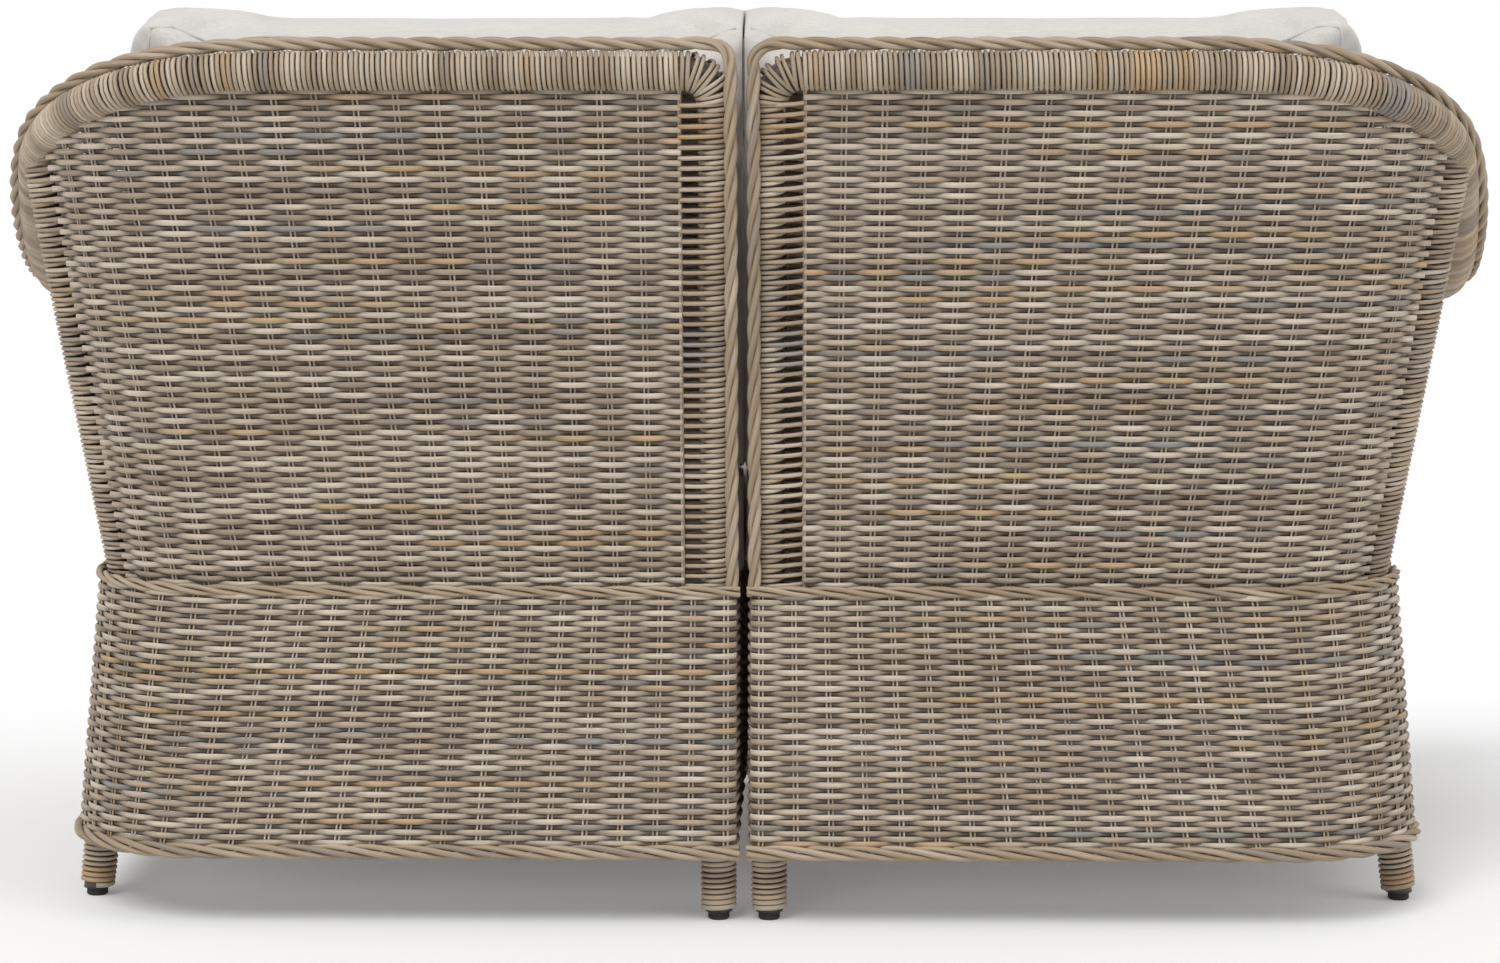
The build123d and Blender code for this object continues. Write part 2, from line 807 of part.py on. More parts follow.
def back_cushion(inset):
    """The back cushion: it leans on the lining and sits on the seat cushion, crowned on both faces."""
    bottom = seat_bottom + seat_thickness - seat_crown
    depth = back_thickness - 2 * back_crown
    height = (back_top - bottom) / math.cos(wall_lean) - top_bow + base_tuck
    backward = Vector(0, math.cos(wall_lean), -math.sin(wall_lean))
    upward = Vector(0, math.sin(wall_lean), math.cos(wall_lean))
    reach = -lining_face + weave_thickness + fit_gap + back_thickness / 2
    foot = Vector(cushion_side + back_width / 2, post_y, waist_height)
    rise = (bottom - waist_height - reach * math.sin(wall_lean)) / math.cos(wall_lean) - base_tuck
    middle = foot + upward * (rise + height / 2) - backward * reach
    bows = {
        "plan": (back_crown, 0, back_crown, 0),
        "front": (0, -draw_in, top_bow, -draw_in),
        "side": (0, back_crown, top_bow, back_crown),
    }
    plan = (back_plan_round, back_plan_round, back_rear_corner, back_plan_round)
    corners = {"plan": plan, "front": (back_side_round,) * 4, "side": (back_face_round,) * 4}
    frame = Plane(middle, x_dir=(1, 0, 0), z_dir=upward)
    body = above(pillow(frame, (back_width, depth, height), bows, corners, inset), bottom + inset)
    return body - seat_cushion(-fit_gap - inset)


def cover(cushion):
    """The sewn cover of a cushion: its outer skin."""
    return cushion(0) - cushion(cover_thickness)


def core(cushion):
    """The foam inside a cushion's cover."""
    return cushion(cover_thickness + fit_gap)


pieces = {
    "frame_hoop": frame_hoop(),
    "outer_back_post": outer_back_post(),
    "inner_front_leg": inner_front_leg(),
    "back_stay": back_stay(),
    "seat_ring": seat_ring(),
    "seat_slats": seat_slats(),
    "hem_hoop": hem_hoop(),
    "leg_plugs": leg_plugs(),
    "base_weave": base_weave(),
    "back_weave": back_weave(),
    "arm_weave": arm_weave(),
    "inner_lining": inner_lining(),
    "rail_wrap": rail_wrap(),
    "inner_post_wrap": inner_post_wrap(),
    "outer_post_wrap": outer_post_wrap(),
    "front_post_wrap": front_post_wrap(),
    "leg_wraps": leg_wraps(),
    "rail_braid": rail_braid(),
    "waist_braid": waist_braid(),
    "hem_braid": hem_braid(),
    "seat_cushion_cover": cover(seat_cushion),
    "seat_cushion_core": core(seat_cushion),
    "back_cushion_cover": cover(back_cushion),
    "back_cushion_core": core(back_cushion),
}
for leg in legs:
    pieces["foot_" + leg] = leg_foot(leg)

# Each piece is drawn for the left half and mirrored for the right one
os.makedirs("parts", exist_ok=True)
for name, piece in pieces.items():
    for side, half in (("left", piece), ("right", mirror(piece, about=Plane.YZ))):
        half.label = side + "_" + name
        export_step(half, "parts/" + half.label + ".step")
    print(name, "valid" if piece.is_valid else "not valid", len(piece.solids()), piece.bounding_box())
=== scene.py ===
# %% [markdown]
# # A woven patio loveseat, seen from behind
# The loveseat is two free-standing halves of woven cane on bent tube frames, each with a seat cushion and a
# back cushion. Its frame comes from a CAD model, and this file gives it its weave, borders, cushions and
# finishes. Everything is in metres, with the floor at zero height and the sitter facing -Y.

import math

import bpy
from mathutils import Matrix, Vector
from mathutils.bvhtree import BVHTree


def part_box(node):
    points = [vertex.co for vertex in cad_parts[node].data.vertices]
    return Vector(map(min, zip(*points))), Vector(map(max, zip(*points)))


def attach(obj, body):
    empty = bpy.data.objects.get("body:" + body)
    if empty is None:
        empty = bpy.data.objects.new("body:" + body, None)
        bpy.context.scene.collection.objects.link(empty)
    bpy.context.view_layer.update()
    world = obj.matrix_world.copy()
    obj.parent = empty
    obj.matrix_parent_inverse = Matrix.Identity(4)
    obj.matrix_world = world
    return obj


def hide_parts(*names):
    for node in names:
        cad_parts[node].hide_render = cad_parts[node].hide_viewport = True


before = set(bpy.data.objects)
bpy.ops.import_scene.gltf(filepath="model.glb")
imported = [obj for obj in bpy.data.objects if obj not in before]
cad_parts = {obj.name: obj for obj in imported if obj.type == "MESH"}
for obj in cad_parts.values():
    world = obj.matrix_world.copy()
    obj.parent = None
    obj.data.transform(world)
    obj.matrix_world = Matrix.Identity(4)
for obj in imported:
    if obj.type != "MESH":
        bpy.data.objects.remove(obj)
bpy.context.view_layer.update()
sides = {"left": 1, "right": -1}


# %% [markdown]
# ## Camera
# The photograph was taken from behind with a long lens, about 4 m from the middle of the loveseat and just
# above the seat cushions. The near legs are spread a little wider than the far ones, which gives the
# distance, and the pitch follows from how far below the horizon the feet stand. The camera stands a hand's
# width to one side of the seam, so the slit between the halves shows one of its dark walls and no daylight.


# %% Camera at the photograph's angle
def link(name, data):
    """Puts new data into the scene as an object."""
    piece = bpy.data.objects.new(name, data)
    bpy.context.scene.collection.objects.link(piece)
    return piece


view_side = -0.07
view_distance = 3.962
view_height = 0.816
view_pitch = 5.78
view_turn = 1.01
camera = link("photo_camera", bpy.data.cameras.new("photo_camera"))
camera.data.sensor_width = 36
camera.data.lens = 86.4
camera.location = (view_side, view_distance, view_height)
camera.rotation_euler = (math.radians(90 - view_pitch), 0, math.radians(180 + view_turn))
bpy.context.scene.camera = camera
print("camera", tuple(camera.location), "lens", camera.data.lens)


# %% [markdown]
# ## Floor and light
# A studio shot on white: one large soft light high behind the camera, a weaker one from the side, and an
# even sky for the rest. The floor takes the object's shadow. Camera rays see it a little brighter than it
# is, so that it meets the white background without an edge.


# %% Helpers that build node trees
def put(tree, kind, inputs=None, **options):
    """Adds a node, sets its options, and fills or joins its inputs."""
    node = tree.nodes.new(kind)
    for name, value in options.items():
        setattr(node, name, value)
    for socket, value in (inputs or {}).items():
        if isinstance(value, bpy.types.NodeSocket):
            tree.links.new(value, node.inputs[socket])
        else:
            node.inputs[socket].default_value = value
    return node


def calc(tree, operation, *values):
    """One step of arithmetic on numbers."""
    return put(tree, "ShaderNodeMath", dict(enumerate(values)), operation=operation).outputs[0]


def seen_directly(tree):
    """1 for rays from the eye or off something shiny or clear, and 0 for the light of the scene."""
    path = put(tree, "ShaderNodeLightPath").outputs
    shiny = calc(tree, "MAXIMUM", path["Is Glossy Ray"], path["Is Transmission Ray"])
    return calc(tree, "MAXIMUM", path["Is Camera Ray"], shiny)


# %% Sky, floor and lamps
def white_sky(strength):
    """An even pale sky that the camera sees as white."""
    world = bpy.data.worlds.new("studio")
    world.use_nodes = True
    tree = world.node_tree
    tree.nodes.clear()
    light = put(tree, "ShaderNodeBackground", {"Color": (1, 1, 1, 1), "Strength": strength})
    white = put(tree, "ShaderNodeBackground", {"Color": (1, 1, 1, 1), "Strength": 1})
    parts = {0: seen_directly(tree), 1: light.outputs[0], 2: white.outputs[0]}
    sky = put(tree, "ShaderNodeMixShader", parts)
    put(tree, "ShaderNodeOutputWorld", {"Surface": sky.outputs[0]})
    return world


def floor_finish(lift):
    """Matt white paper, lifted a little where it is seen directly."""
    material = bpy.data.materials.new("floor_paper")
    material.use_nodes = True
    tree = material.node_tree
    tree.nodes.clear()
    paper = put(tree, "ShaderNodeBsdfDiffuse", {"Color": (0.86, 0.86, 0.86, 1)})
    glow = put(tree, "ShaderNodeEmission", {"Strength": calc(tree, "MULTIPLY", seen_directly(tree), lift)})
    both = put(tree, "ShaderNodeAddShader", {0: paper.outputs[0], 1: glow.outputs[0]})
    put(tree, "ShaderNodeOutputMaterial", {"Surface": both.outputs[0]})
    return material


def flat_plane(name, reach):
    """A level square at floor height."""
    mesh = bpy.data.meshes.new(name)
    corners = [(-reach, -reach, 0), (reach, -reach, 0), (reach, reach, 0), (-reach, reach, 0)]
    mesh.from_pydata(corners, [], [(0, 1, 2, 3)])
    return link(name, mesh)


def lamp(name, strength, softness, azimuth, height):
    """A distant soft lamp that shines from an azimuth, 0 behind the loveseat, and a height, in degrees."""
    light = link(name, bpy.data.lights.new(name, "SUN"))
    light.data.energy = strength
    light.data.angle = math.radians(softness)
    light.rotation_euler = (math.radians(90 - height), 0, math.radians(180 - azimuth))


bpy.context.scene.world = white_sky(0.55)
floor = flat_plane("floor", 40)
floor.data.materials.append(floor_finish(0.15))
lamp("key_lamp", 1.5, 30, 25, 50)
lamp("side_lamp", 0.5, 40, -60, 35)
bpy.context.scene.view_settings.view_transform = "Standard"
print("stage and lamps ready")


# %% [markdown]
# ## Lines of the frame
# The cane is wound and woven over bent tubes, so its routes are the frame's own lines: the waist, the hem,
# and the hoop that runs up the inner post, along the rail, round the corner and down over the arm. They are
# worked out from the same few sizes as the CAD model.

# %% Sizes that the cane follows, in metres
half_depth = 0.45
seam_side = 0.0035
hem_height = 0.078
waist_height = 0.34
rail_height = 0.861
arm_height = 0.636
waist_reach = {"side": 0.686, "back": 0.367, "front": -0.432, "corner": 0.19}
hem_reach = {"side": 0.701, "back": 0.393, "front": -0.444, "corner": 0.16}
front_corner = 0.06
seam_corner = 0.012
cane_depth = 0.008
leg_inset = 0.0266
wall_foot = 0.3405
post = Vector((0.0258, waist_reach["back"] - leg_inset, waist_height))
rail_back = half_depth - 0.0256
corner_start = 0.546
corner_sweep = 0.18
corner_turn = math.radians(78)
arm_bow = 2.6
fall_lead = 0.06
fall_length = 0.72
rail_step = 0.07
post_cover = 0.022
front_bend = 0.055
inner_bend = 0.03
arm_front = half_depth - 0.038
post_turn = math.radians(20)
outer_leg = Vector((0.036, 0.003, 0))
front_leg = Vector((0.014, -0.008, 0))
fillet_share = 0.45
outer_head_run = 0.3


def rail_point(run):
    """The rail's centre line: level across the back, round the corner and down to the arm."""
    past = run - fall_lead
    sweep_length = corner_sweep * corner_turn
    if past < 0:
        x = corner_start + past
        y = rail_back
    elif past < sweep_length:
        x = corner_start + corner_sweep * math.sin(past / corner_sweep)
        y = rail_back - corner_sweep * (1 - math.cos(past / corner_sweep))
    else:
        angle = corner_turn + (past - sweep_length) / arm_bow
        x = corner_start + corner_sweep * math.sin(corner_turn)
        x += arm_bow * (math.sin(angle) - math.sin(corner_turn))
        y = rail_back - corner_sweep * (1 - math.cos(corner_turn))
        y -= arm_bow * (math.cos(corner_turn) - math.cos(angle))
    lowered = (rail_height - arm_height) * (1 - math.cos(math.pi * min(max(run, 0) / fall_length, 1))) / 2
    return Vector((x, y, rail_height - lowered))


def rounded(points, radii, steps=8):
    """A line of points whose inner corners are rounded by tangent arcs."""
    line = [points[0]]
    for index in range(1, len(points) - 1):
        corner = points[index]
        before = points[index - 1] - corner
        after = points[index + 1] - corner
        half = before.angle(after) / 2
        room = fillet_share * min(before.length, after.length)
        reach = min(radii.get(index, room * math.tan(half)) / math.tan(half), room)
        start = corner + before.normalized() * reach
        end = corner + after.normalized() * reach
        inward = before.normalized() + after.normalized()
        if inward.length < 0.001:
            line.append(corner)
            continue
        radius = reach * math.tan(half)
        centre = corner + inward.normalized() * radius / math.sin(half)
        first = (start - centre).normalized()
        last = (end - centre).normalized()
        line += [centre + first.slerp(last, step / steps) * radius for step in range(steps + 1)]
    line.append(points[-1])
    return line


def run_lengths(line):
    """How far along a line each of its points lies."""
    reached = [0.0]
    for before, after in zip(line, line[1:]):
        reached.append(reached[-1] + (after - before).length)
    return reached


def spot(line, distance):
    """The point at a distance along a line, and the direction there."""
    reached = run_lengths(line)
    index = 0
    while index < len(line) - 2 and reached[index + 1] < distance:
        index += 1
    way = (line[index + 1] - line[index]).normalized()
    return line[index] + way * (distance - reached[index]), way


def distance_to(line, test, start=0.0):
    """The distance along a line, after a start, at which a test first holds."""
    step = 0.001
    distance = start
    while not test(spot(line, distance)[0]):
        distance += step
    return distance


def between(line, start, end, step=0.01):
    """The stretch of a line between two distances, as evenly spaced points."""
    count = max(2, round((end - start) / step))
    return [spot(line, start + (end - start) * index / count)[0] for index in range(count + 1)]


rail_runs = [0.0]
while rail_point(rail_runs[-1] + rail_step).y > front_bend - arm_front:
    rail_runs.append(rail_runs[-1] + rail_step)
corner_round = waist_reach["corner"]
corner_centre = Vector((waist_reach["side"] - corner_round, waist_reach["back"] - corner_round, 0))
leg_sweep = corner_round - leg_inset
outer_foot = corner_centre + Vector((math.cos(post_turn), math.sin(post_turn), 0)) * leg_sweep
outer_foot.z = waist_height
front_diagonal = (front_corner - leg_inset) / math.sqrt(2)
front_foot = Vector((
    waist_reach["side"] - front_corner + front_diagonal,
    waist_reach["front"] + front_corner - front_diagonal,
    waist_height,
))
rail_corners = [rail_point(run) for run in rail_runs]
arm_corner = Vector((rail_corners[-1].x, -arm_front, arm_height))
hoop_corners = [post, Vector((post.x, rail_back, rail_height)), *rail_corners, arm_corner, front_foot]
hoop = rounded(hoop_corners, {1: inner_bend, len(hoop_corners) - 2: front_bend})
outer_head = rail_point(outer_head_run)
crest_start = distance_to(hoop, lambda p: p.z > rail_height - inner_bend)
arm_end = distance_to(hoop, lambda p: p.y < post_cover - arm_front, crest_start)
arm_foot = distance_to(hoop, lambda p: p.y < 0 and p.z < arm_height - front_bend, crest_start)
outer_head_at = distance_to(hoop, lambda p: p.y < outer_head.y, crest_start + corner_start)
waist_side_line = waist_reach["side"] - leg_inset
waist = rounded(
    [
        post,
        Vector((waist_side_line, post.y, waist_height)),
        Vector((waist_side_line, front_foot.y, waist_height)),
    ],
    {1: leg_sweep},
    steps=24,
)
outer_foot_at = distance_to(waist, lambda p: p.y < outer_foot.y)
to_floor = Vector((0, 0, -waist_height))
inner_front = Vector((post.x, waist_reach["front"] + leg_inset, waist_height))
legs = {
    "back_inner": (post + to_floor, post),
    "back_outer": (outer_foot + outer_leg + to_floor, outer_foot),
    "front_inner": (inner_front + to_floor, inner_front),
    "front_outer": (front_foot + front_leg + to_floor, front_foot),
}
print("hoop", round(run_lengths(hoop)[-1], 3), "m long, waist", round(run_lengths(waist)[-1], 3), "m long")


# %% [markdown]
# ## Trees that weave and wind
# On the real piece one person weaves the rows in and out of pairs of upright stakes and winds single strands
# round the tubes. Two geometry trees do the same work: one lays rows and stakes on a guide surface, and the
# other winds or twists strands along a line. Their inputs are a maker's own: rows, stakes, turns and widths.


# %% Tree helpers
seed_step = 57


def new_tree(name, sockets):
    """An empty geometry tree with named inputs, and those inputs."""
    tree = bpy.data.node_groups.new(name, "GeometryNodeTree")
    tree.interface.new_socket("Geometry", in_out="INPUT", socket_type="NodeSocketGeometry")
    for label, kind in sockets.items():
        tree.interface.new_socket(label, in_out="INPUT", socket_type="NodeSocket" + kind)
    tree.interface.new_socket("Geometry", in_out="OUTPUT", socket_type="NodeSocketGeometry")
    return tree, put(tree, "NodeGroupInput").outputs


def vector(tree, operation, *values):
    """One step of arithmetic on vectors."""
    return put(tree, "ShaderNodeVectorMath", dict(enumerate(values)), operation=operation).outputs[0]


def scaled(tree, direction, length):
    """A direction times a length."""
    return put(tree, "ShaderNodeVectorMath", {0: direction, "Scale": length}, operation="SCALE").outputs[0]


def combined(tree, x, y, z):
    """A vector from three numbers."""
    return put(tree, "ShaderNodeCombineXYZ", {0: x, 1: y, 2: z}).outputs[0]


def parts_of(tree, value):
    """The three numbers of a vector."""
    return put(tree, "ShaderNodeSeparateXYZ", {0: value}).outputs


def stored(tree, name, kind="FLOAT_VECTOR"):
    """A named attribute."""
    return put(tree, "GeometryNodeInputNamedAttribute", {"Name": name}, data_type=kind).outputs[0]


def store(tree, geometry, name, value, kind="FLOAT_VECTOR"):
    """Keeps a value on each point under a name."""
    inputs = {"Geometry": geometry, "Name": name, "Value": value}
    return put(tree, "GeometryNodeStoreNamedAttribute", inputs, data_type=kind, domain="POINT").outputs[0]


def clamped(tree, value, low, high):
    """A number held between two others."""
    return put(tree, "ShaderNodeClamp", {"Value": value, "Min": low, "Max": high}).outputs[0]


def unevenly(tree, along, number):
    """Noise from -0.5 to 0.5 that changes along a strand and from strand to strand."""
    inputs = {"Vector": combined(tree, along, number, 0), "Scale": 1, "Detail": 1}
    return calc(tree, "SUBTRACT", put(tree, "ShaderNodeTexNoise", inputs).outputs[0], 0.5)


def copied(tree, curve, amount):
    """Copies of a curve, and the number of each copy."""
    inputs = {"Geometry": curve, "Amount": amount}
    return put(tree, "GeometryNodeDuplicateElements", inputs, domain="SPLINE").outputs


def resampled(tree, curve, count):
    """A curve with a number of evenly spaced points."""
    inputs = {"Curve": curve, "Count": count}
    return put(tree, "GeometryNodeResampleCurve", inputs, mode="COUNT").outputs[0]


def turned(tree, curve, mode):
    """A curve with its normals set."""
    return put(tree, "GeometryNodeSetCurveNormal", {"Curve": curve}, mode=mode).outputs[0]


def on_guide(tree, guide, value, across, up, kind="FLOAT_VECTOR"):
    """A value of the guide surface at a share across it and a share up it."""
    edge = 0.0005
    held = [clamped(tree, share, edge, 1 - edge) for share in (across, up)]
    inputs = {
        "Mesh": guide, "Value": value, "UV Map": stored(tree, "UVMap"),
        "Sample UV": combined(tree, *held, 0),
    }
    return put(tree, "GeometryNodeSampleUVSurface", inputs, data_type=kind).outputs[0]


def strand_profile(tree, sides, thickness, width):
    """An oval to sweep along a strand, with the share round it kept on its points."""
    inputs = {"Resolution": sides, "Radius": 0.5}
    circle = put(tree, "GeometryNodeCurvePrimitiveCircle", inputs, mode="RADIUS")
    factor = put(tree, "GeometryNodeSplineParameter").outputs["Factor"]
    around = calc(tree, "ABSOLUTE", calc(tree, "SUBTRACT", calc(tree, "MULTIPLY", factor, 2), 1))
    marked = store(tree, circle.outputs[0], "around", around, "FLOAT")
    size = combined(tree, thickness, width, 1)
    return put(tree, "GeometryNodeTransform", {"Geometry": marked, "Scale": size}).outputs[0]


def finished(tree, *meshes, finish):
    """Joins what was made, smooths it and gives it its material."""
    joined = put(tree, "GeometryNodeJoinGeometry")
    for mesh in meshes:
        tree.links.new(mesh, joined.inputs[0])
    real = put(tree, "GeometryNodeRealizeInstances", {"Geometry": joined.outputs[0]})
    smooth = put(tree, "GeometryNodeSetShadeSmooth", {"Geometry": real.outputs[0]})
    painted = put(tree, "GeometryNodeSetMaterial", {"Geometry": smooth.outputs[0], "Material": finish})
    put(tree, "NodeGroupOutput", {"Geometry": painted.outputs[0]})


def woven_tree():
    """Rows of cane woven in front of and behind pairs of stakes, over a guide surface."""
    tree, given = new_tree("woven_cane", {
        "Rows": "Int", "Stakes": "Int", "Steps": "Int", "Sides": "Int", "Cane Width": "Float",
        "Cane Thickness": "Float", "Stake Radius": "Float", "Pair Share": "Float", "Wobble": "Float",
        "Seed": "Int", "Finish": "Material",
    })
    guide = given["Geometry"]
    facing = stored(tree, "outward")
    height = stored(tree, "top", "FLOAT")
    here = put(tree, "GeometryNodeInputPosition").outputs[0]

    line = put(tree, "GeometryNodeCurvePrimitiveLine", {"Start": (0, 0, 0), "End": (1, 0, 0)}).outputs[0]
    count = calc(tree, "ADD", calc(tree, "MULTIPLY", given["Stakes"], given["Steps"]), 1)
    rows, row = copied(tree, resampled(tree, line, count), given["Rows"])
    across = parts_of(tree, here)[0]
    up = calc(tree, "DIVIDE", calc(tree, "ADD", row, 0.5), given["Rows"])
    stake_at = calc(tree, "MULTIPLY", across, given["Stakes"])
    front = calc(tree, "COSINE", calc(tree, "MULTIPLY", calc(tree, "ADD", stake_at, row), math.pi))
    seeded = calc(tree, "ADD", row, calc(tree, "MULTIPLY", given["Seed"], seed_step))
    marked = store(tree, rows, "strand", combined(tree, stake_at, seeded, front))
    marked = store(tree, marked, "share_up", combined(tree, across, up, 0))
    over = calc(tree, "GREATER_THAN", up, on_guide(tree, guide, height, across, 0.5, "FLOAT"))
    above = {"Geometry": marked, "Selection": over}
    kept = put(tree, "GeometryNodeDeleteGeometry", above, domain="POINT").outputs[0]
    share = parts_of(tree, stored(tree, "share_up"))
    strand = parts_of(tree, stored(tree, "strand"))
    reach = calc(tree, "ADD", calc(tree, "DIVIDE", given["Cane Thickness"], 2), given["Stake Radius"])
    forward = calc(tree, "MULTIPLY", strand[2], reach)
    weave = scaled(tree, on_guide(tree, guide, facing, share[0], share[1]), forward)
    noise = unevenly(tree, calc(tree, "MULTIPLY", strand[0], 0.8), calc(tree, "MULTIPLY", strand[1], 7.3))
    wobble = calc(tree, "MULTIPLY", noise, calc(tree, "MULTIPLY", given["Wobble"], 2))
    place = vector(tree, "ADD", on_guide(tree, guide, here, share[0], share[1]), weave)
    place = vector(tree, "ADD", place, combined(tree, 0, 0, wobble))
    laid = put(tree, "GeometryNodeSetPosition", {"Geometry": kept, "Position": place}).outputs[0]
    profile = strand_profile(tree, given["Sides"], given["Cane Thickness"], given["Cane Width"])
    swell = calc(tree, "ADD", calc(tree, "MULTIPLY", strand[2], 0.08), 0.95)
    swept = {"Curve": turned(tree, laid, "Z_UP"), "Profile Curve": profile, "Scale": swell}
    cane = put(tree, "GeometryNodeCurveToMesh", swept).outputs[0]

    upright = put(tree, "GeometryNodeCurvePrimitiveLine", {"Start": (0, 0, 0), "End": (0, 1, 0)}).outputs[0]
    amount = calc(tree, "MULTIPLY", given["Stakes"], 2)
    stakes, index = copied(tree, upright, amount)
    pair = calc(tree, "FLOOR", calc(tree, "DIVIDE", index, 2))
    side = calc(tree, "SUBTRACT", calc(tree, "SUBTRACT", index, calc(tree, "MULTIPLY", pair, 2)), 0.5)
    stake_across = calc(tree, "ADD", pair, calc(tree, "MULTIPLY", side, given["Pair Share"]))
    stake_across = calc(tree, "DIVIDE", stake_across, given["Stakes"])
    rise = parts_of(tree, here)[1]
    stake_up = calc(tree, "MULTIPLY", rise, on_guide(tree, guide, height, stake_across, 0.5, "FLOAT"))
    marked = store(tree, stakes, "strand", combined(tree, rise, calc(tree, "ADD", index, 0.5), 1))
    stood = on_guide(tree, guide, here, stake_across, stake_up)
    stood = put(tree, "GeometryNodeSetPosition", {"Geometry": marked, "Position": stood}).outputs[0]
    stake_size = calc(tree, "MULTIPLY", given["Stake Radius"], 2)
    profile = strand_profile(tree, 5, stake_size, stake_size)
    posts = put(tree, "GeometryNodeCurveToMesh", {"Curve": stood, "Profile Curve": profile}).outputs[0]
    finished(tree, cane, posts, finish=given["Finish"])
    return tree


def wound_tree():
    """Strands wound in turns, or twisted, along a line."""
    tree, given = new_tree("wound_cane", {
        "Strands": "Int", "Turns": "Float", "Points": "Int", "Sides": "Int", "Strand Size": "Float",
        "Strand Width": "Float", "Half Width": "Float", "Half Height": "Float", "Straight": "Float",
        "Shift": "Float", "Start": "Float", "Unevenness": "Float", "Seed": "Int", "Level": "Bool",
        "Finish": "Material",
    })
    path = put(tree, "GeometryNodeMeshToCurve", {"Mesh": given["Geometry"]}).outputs[0]
    path = resampled(tree, path, calc(tree, "ADD", given["Points"], 1))
    choice = {
        "Switch": given["Level"],
        "False": turned(tree, path, "MINIMUM_TWIST"),
        "True": turned(tree, path, "Z_UP"),
    }
    chosen = put(tree, "GeometryNodeSwitch", choice, input_type="GEOMETRY").outputs[0]
    copies, index = copied(tree, chosen, given["Strands"])
    factor = put(tree, "GeometryNodeSplineParameter").outputs["Factor"]
    turn = calc(tree, "MULTIPLY", factor, given["Turns"])
    begun = calc(tree, "ADD", turn, given["Start"])
    begun = calc(tree, "ADD", begun, calc(tree, "DIVIDE", index, given["Strands"]))
    angle = calc(tree, "MULTIPLY", begun, 2 * math.pi)
    cosine = calc(tree, "COSINE", angle)
    flat = clamped(tree, calc(tree, "MULTIPLY", cosine, 1.6), -1, 1)
    round_part = calc(tree, "MULTIPLY", cosine, given["Half Width"])
    wide = calc(tree, "ADD", round_part, calc(tree, "MULTIPLY", flat, given["Straight"]))
    wide = calc(tree, "ADD", wide, given["Shift"])
    high = calc(tree, "MULTIPLY", calc(tree, "SINE", angle), given["Half Height"])
    seeded = calc(tree, "ADD", index, calc(tree, "MULTIPLY", given["Seed"], seed_step))
    noise = unevenly(tree, calc(tree, "MULTIPLY", turn, 0.9), seeded)
    uneven = calc(tree, "MULTIPLY", noise, given["Unevenness"])
    normal = put(tree, "GeometryNodeInputNormal").outputs[0]
    tangent = put(tree, "GeometryNodeInputTangent").outputs[0]
    across = vector(tree, "CROSS_PRODUCT", tangent, normal)
    offset = vector(tree, "ADD", scaled(tree, normal, wide), scaled(tree, across, high))
    offset = scaled(tree, offset, stored(tree, "girth", "FLOAT"))
    offset = vector(tree, "ADD", offset, scaled(tree, tangent, uneven))
    marked = store(tree, copies, "strand", combined(tree, turn, seeded, 1))
    moved = put(tree, "GeometryNodeSetPosition", {"Geometry": marked, "Offset": offset}).outputs[0]
    profile = strand_profile(tree, given["Sides"], given["Strand Size"], given["Strand Width"])
    swept = {"Curve": turned(tree, moved, "MINIMUM_TWIST"), "Profile Curve": profile}
    cane = put(tree, "GeometryNodeCurveToMesh", swept).outputs[0]
    finished(tree, cane, finish=given["Finish"])
    return tree


def grow(name, host_mesh, tree, settings):
    """Runs a tree on a mesh and keeps the result as one plain mesh."""
    host = link(name + "_guide", host_mesh)
    modifier = host.modifiers.new("grow", "NODES")
    modifier.node_group = tree
    for item in tree.interface.items_tree:
        if item.in_out == "INPUT" and item.name in settings:
            modifier[item.identifier] = settings[item.name]
    depsgraph = bpy.context.evaluated_depsgraph_get()
    mesh = bpy.data.meshes.new_from_object(host.evaluated_get(depsgraph))
    mesh.name = name
    mesh.materials.clear()  # the strands bring an empty slot with them
    mesh.materials.append(settings["Finish"])
    bpy.data.objects.remove(host)
    piece = link(name, mesh)
    print(name, len(mesh.polygons), "faces")
    return piece


woven_cane = woven_tree()
wound_cane = wound_tree()


# %% [markdown]
# ## Finishes of the cane
# The cane has weathered: every length has its own tone, from bone and grey-beige to tan, with fine streaks
# along it. Where a strand dips behind a stake it is painted darker, as painted shade, and the floats in
# front are painted a little lighter, as painted light. Each strand carries its length, its number and how
# far forward it lies, so one shader group paints them all.


# %% Shader helpers
def new_material(name):
    """An empty material and its tree."""
    material = bpy.data.materials.new(name)
    material.use_nodes = True
    material.node_tree.nodes.clear()
    return material, material.node_tree


def surface(tree, **inputs):
    """The surface shader and the material's output."""
    sockets = {label.replace("_", " "): value for label, value in inputs.items()}
    shader = put(tree, "ShaderNodeBsdfPrincipled", sockets)
    put(tree, "ShaderNodeOutputMaterial", {"Surface": shader.outputs[0]})
    return shader


def ramp(tree, factor, stops):
    """A colour for each stretch between 0 and 1."""
    node = put(tree, "ShaderNodeValToRGB", {"Fac": factor})
    elements = node.color_ramp.elements
    while len(elements) < len(stops):
        elements.new(0.5)
    for element, (place, colour) in zip(elements, stops):
        element.position = place
        element.color = (*colour, 1)
    return node.outputs[0]


def mixed(tree, factor, first, second, blend="MIX"):
    """Two colours mixed."""
    node = put(tree, "ShaderNodeMix", {0: factor}, data_type="RGBA", blend_type=blend)
    for socket, value in ((node.inputs[6], first), (node.inputs[7], second)):
        if isinstance(value, bpy.types.NodeSocket):
            tree.links.new(value, socket)
        else:
            socket.default_value = (*value, 1)
    return node.outputs[2]


def shaded(tree, colour, value):
    """A colour made darker or lighter by a number."""
    return mixed(tree, 1, colour, combined(tree, value, value, value), "MULTIPLY")


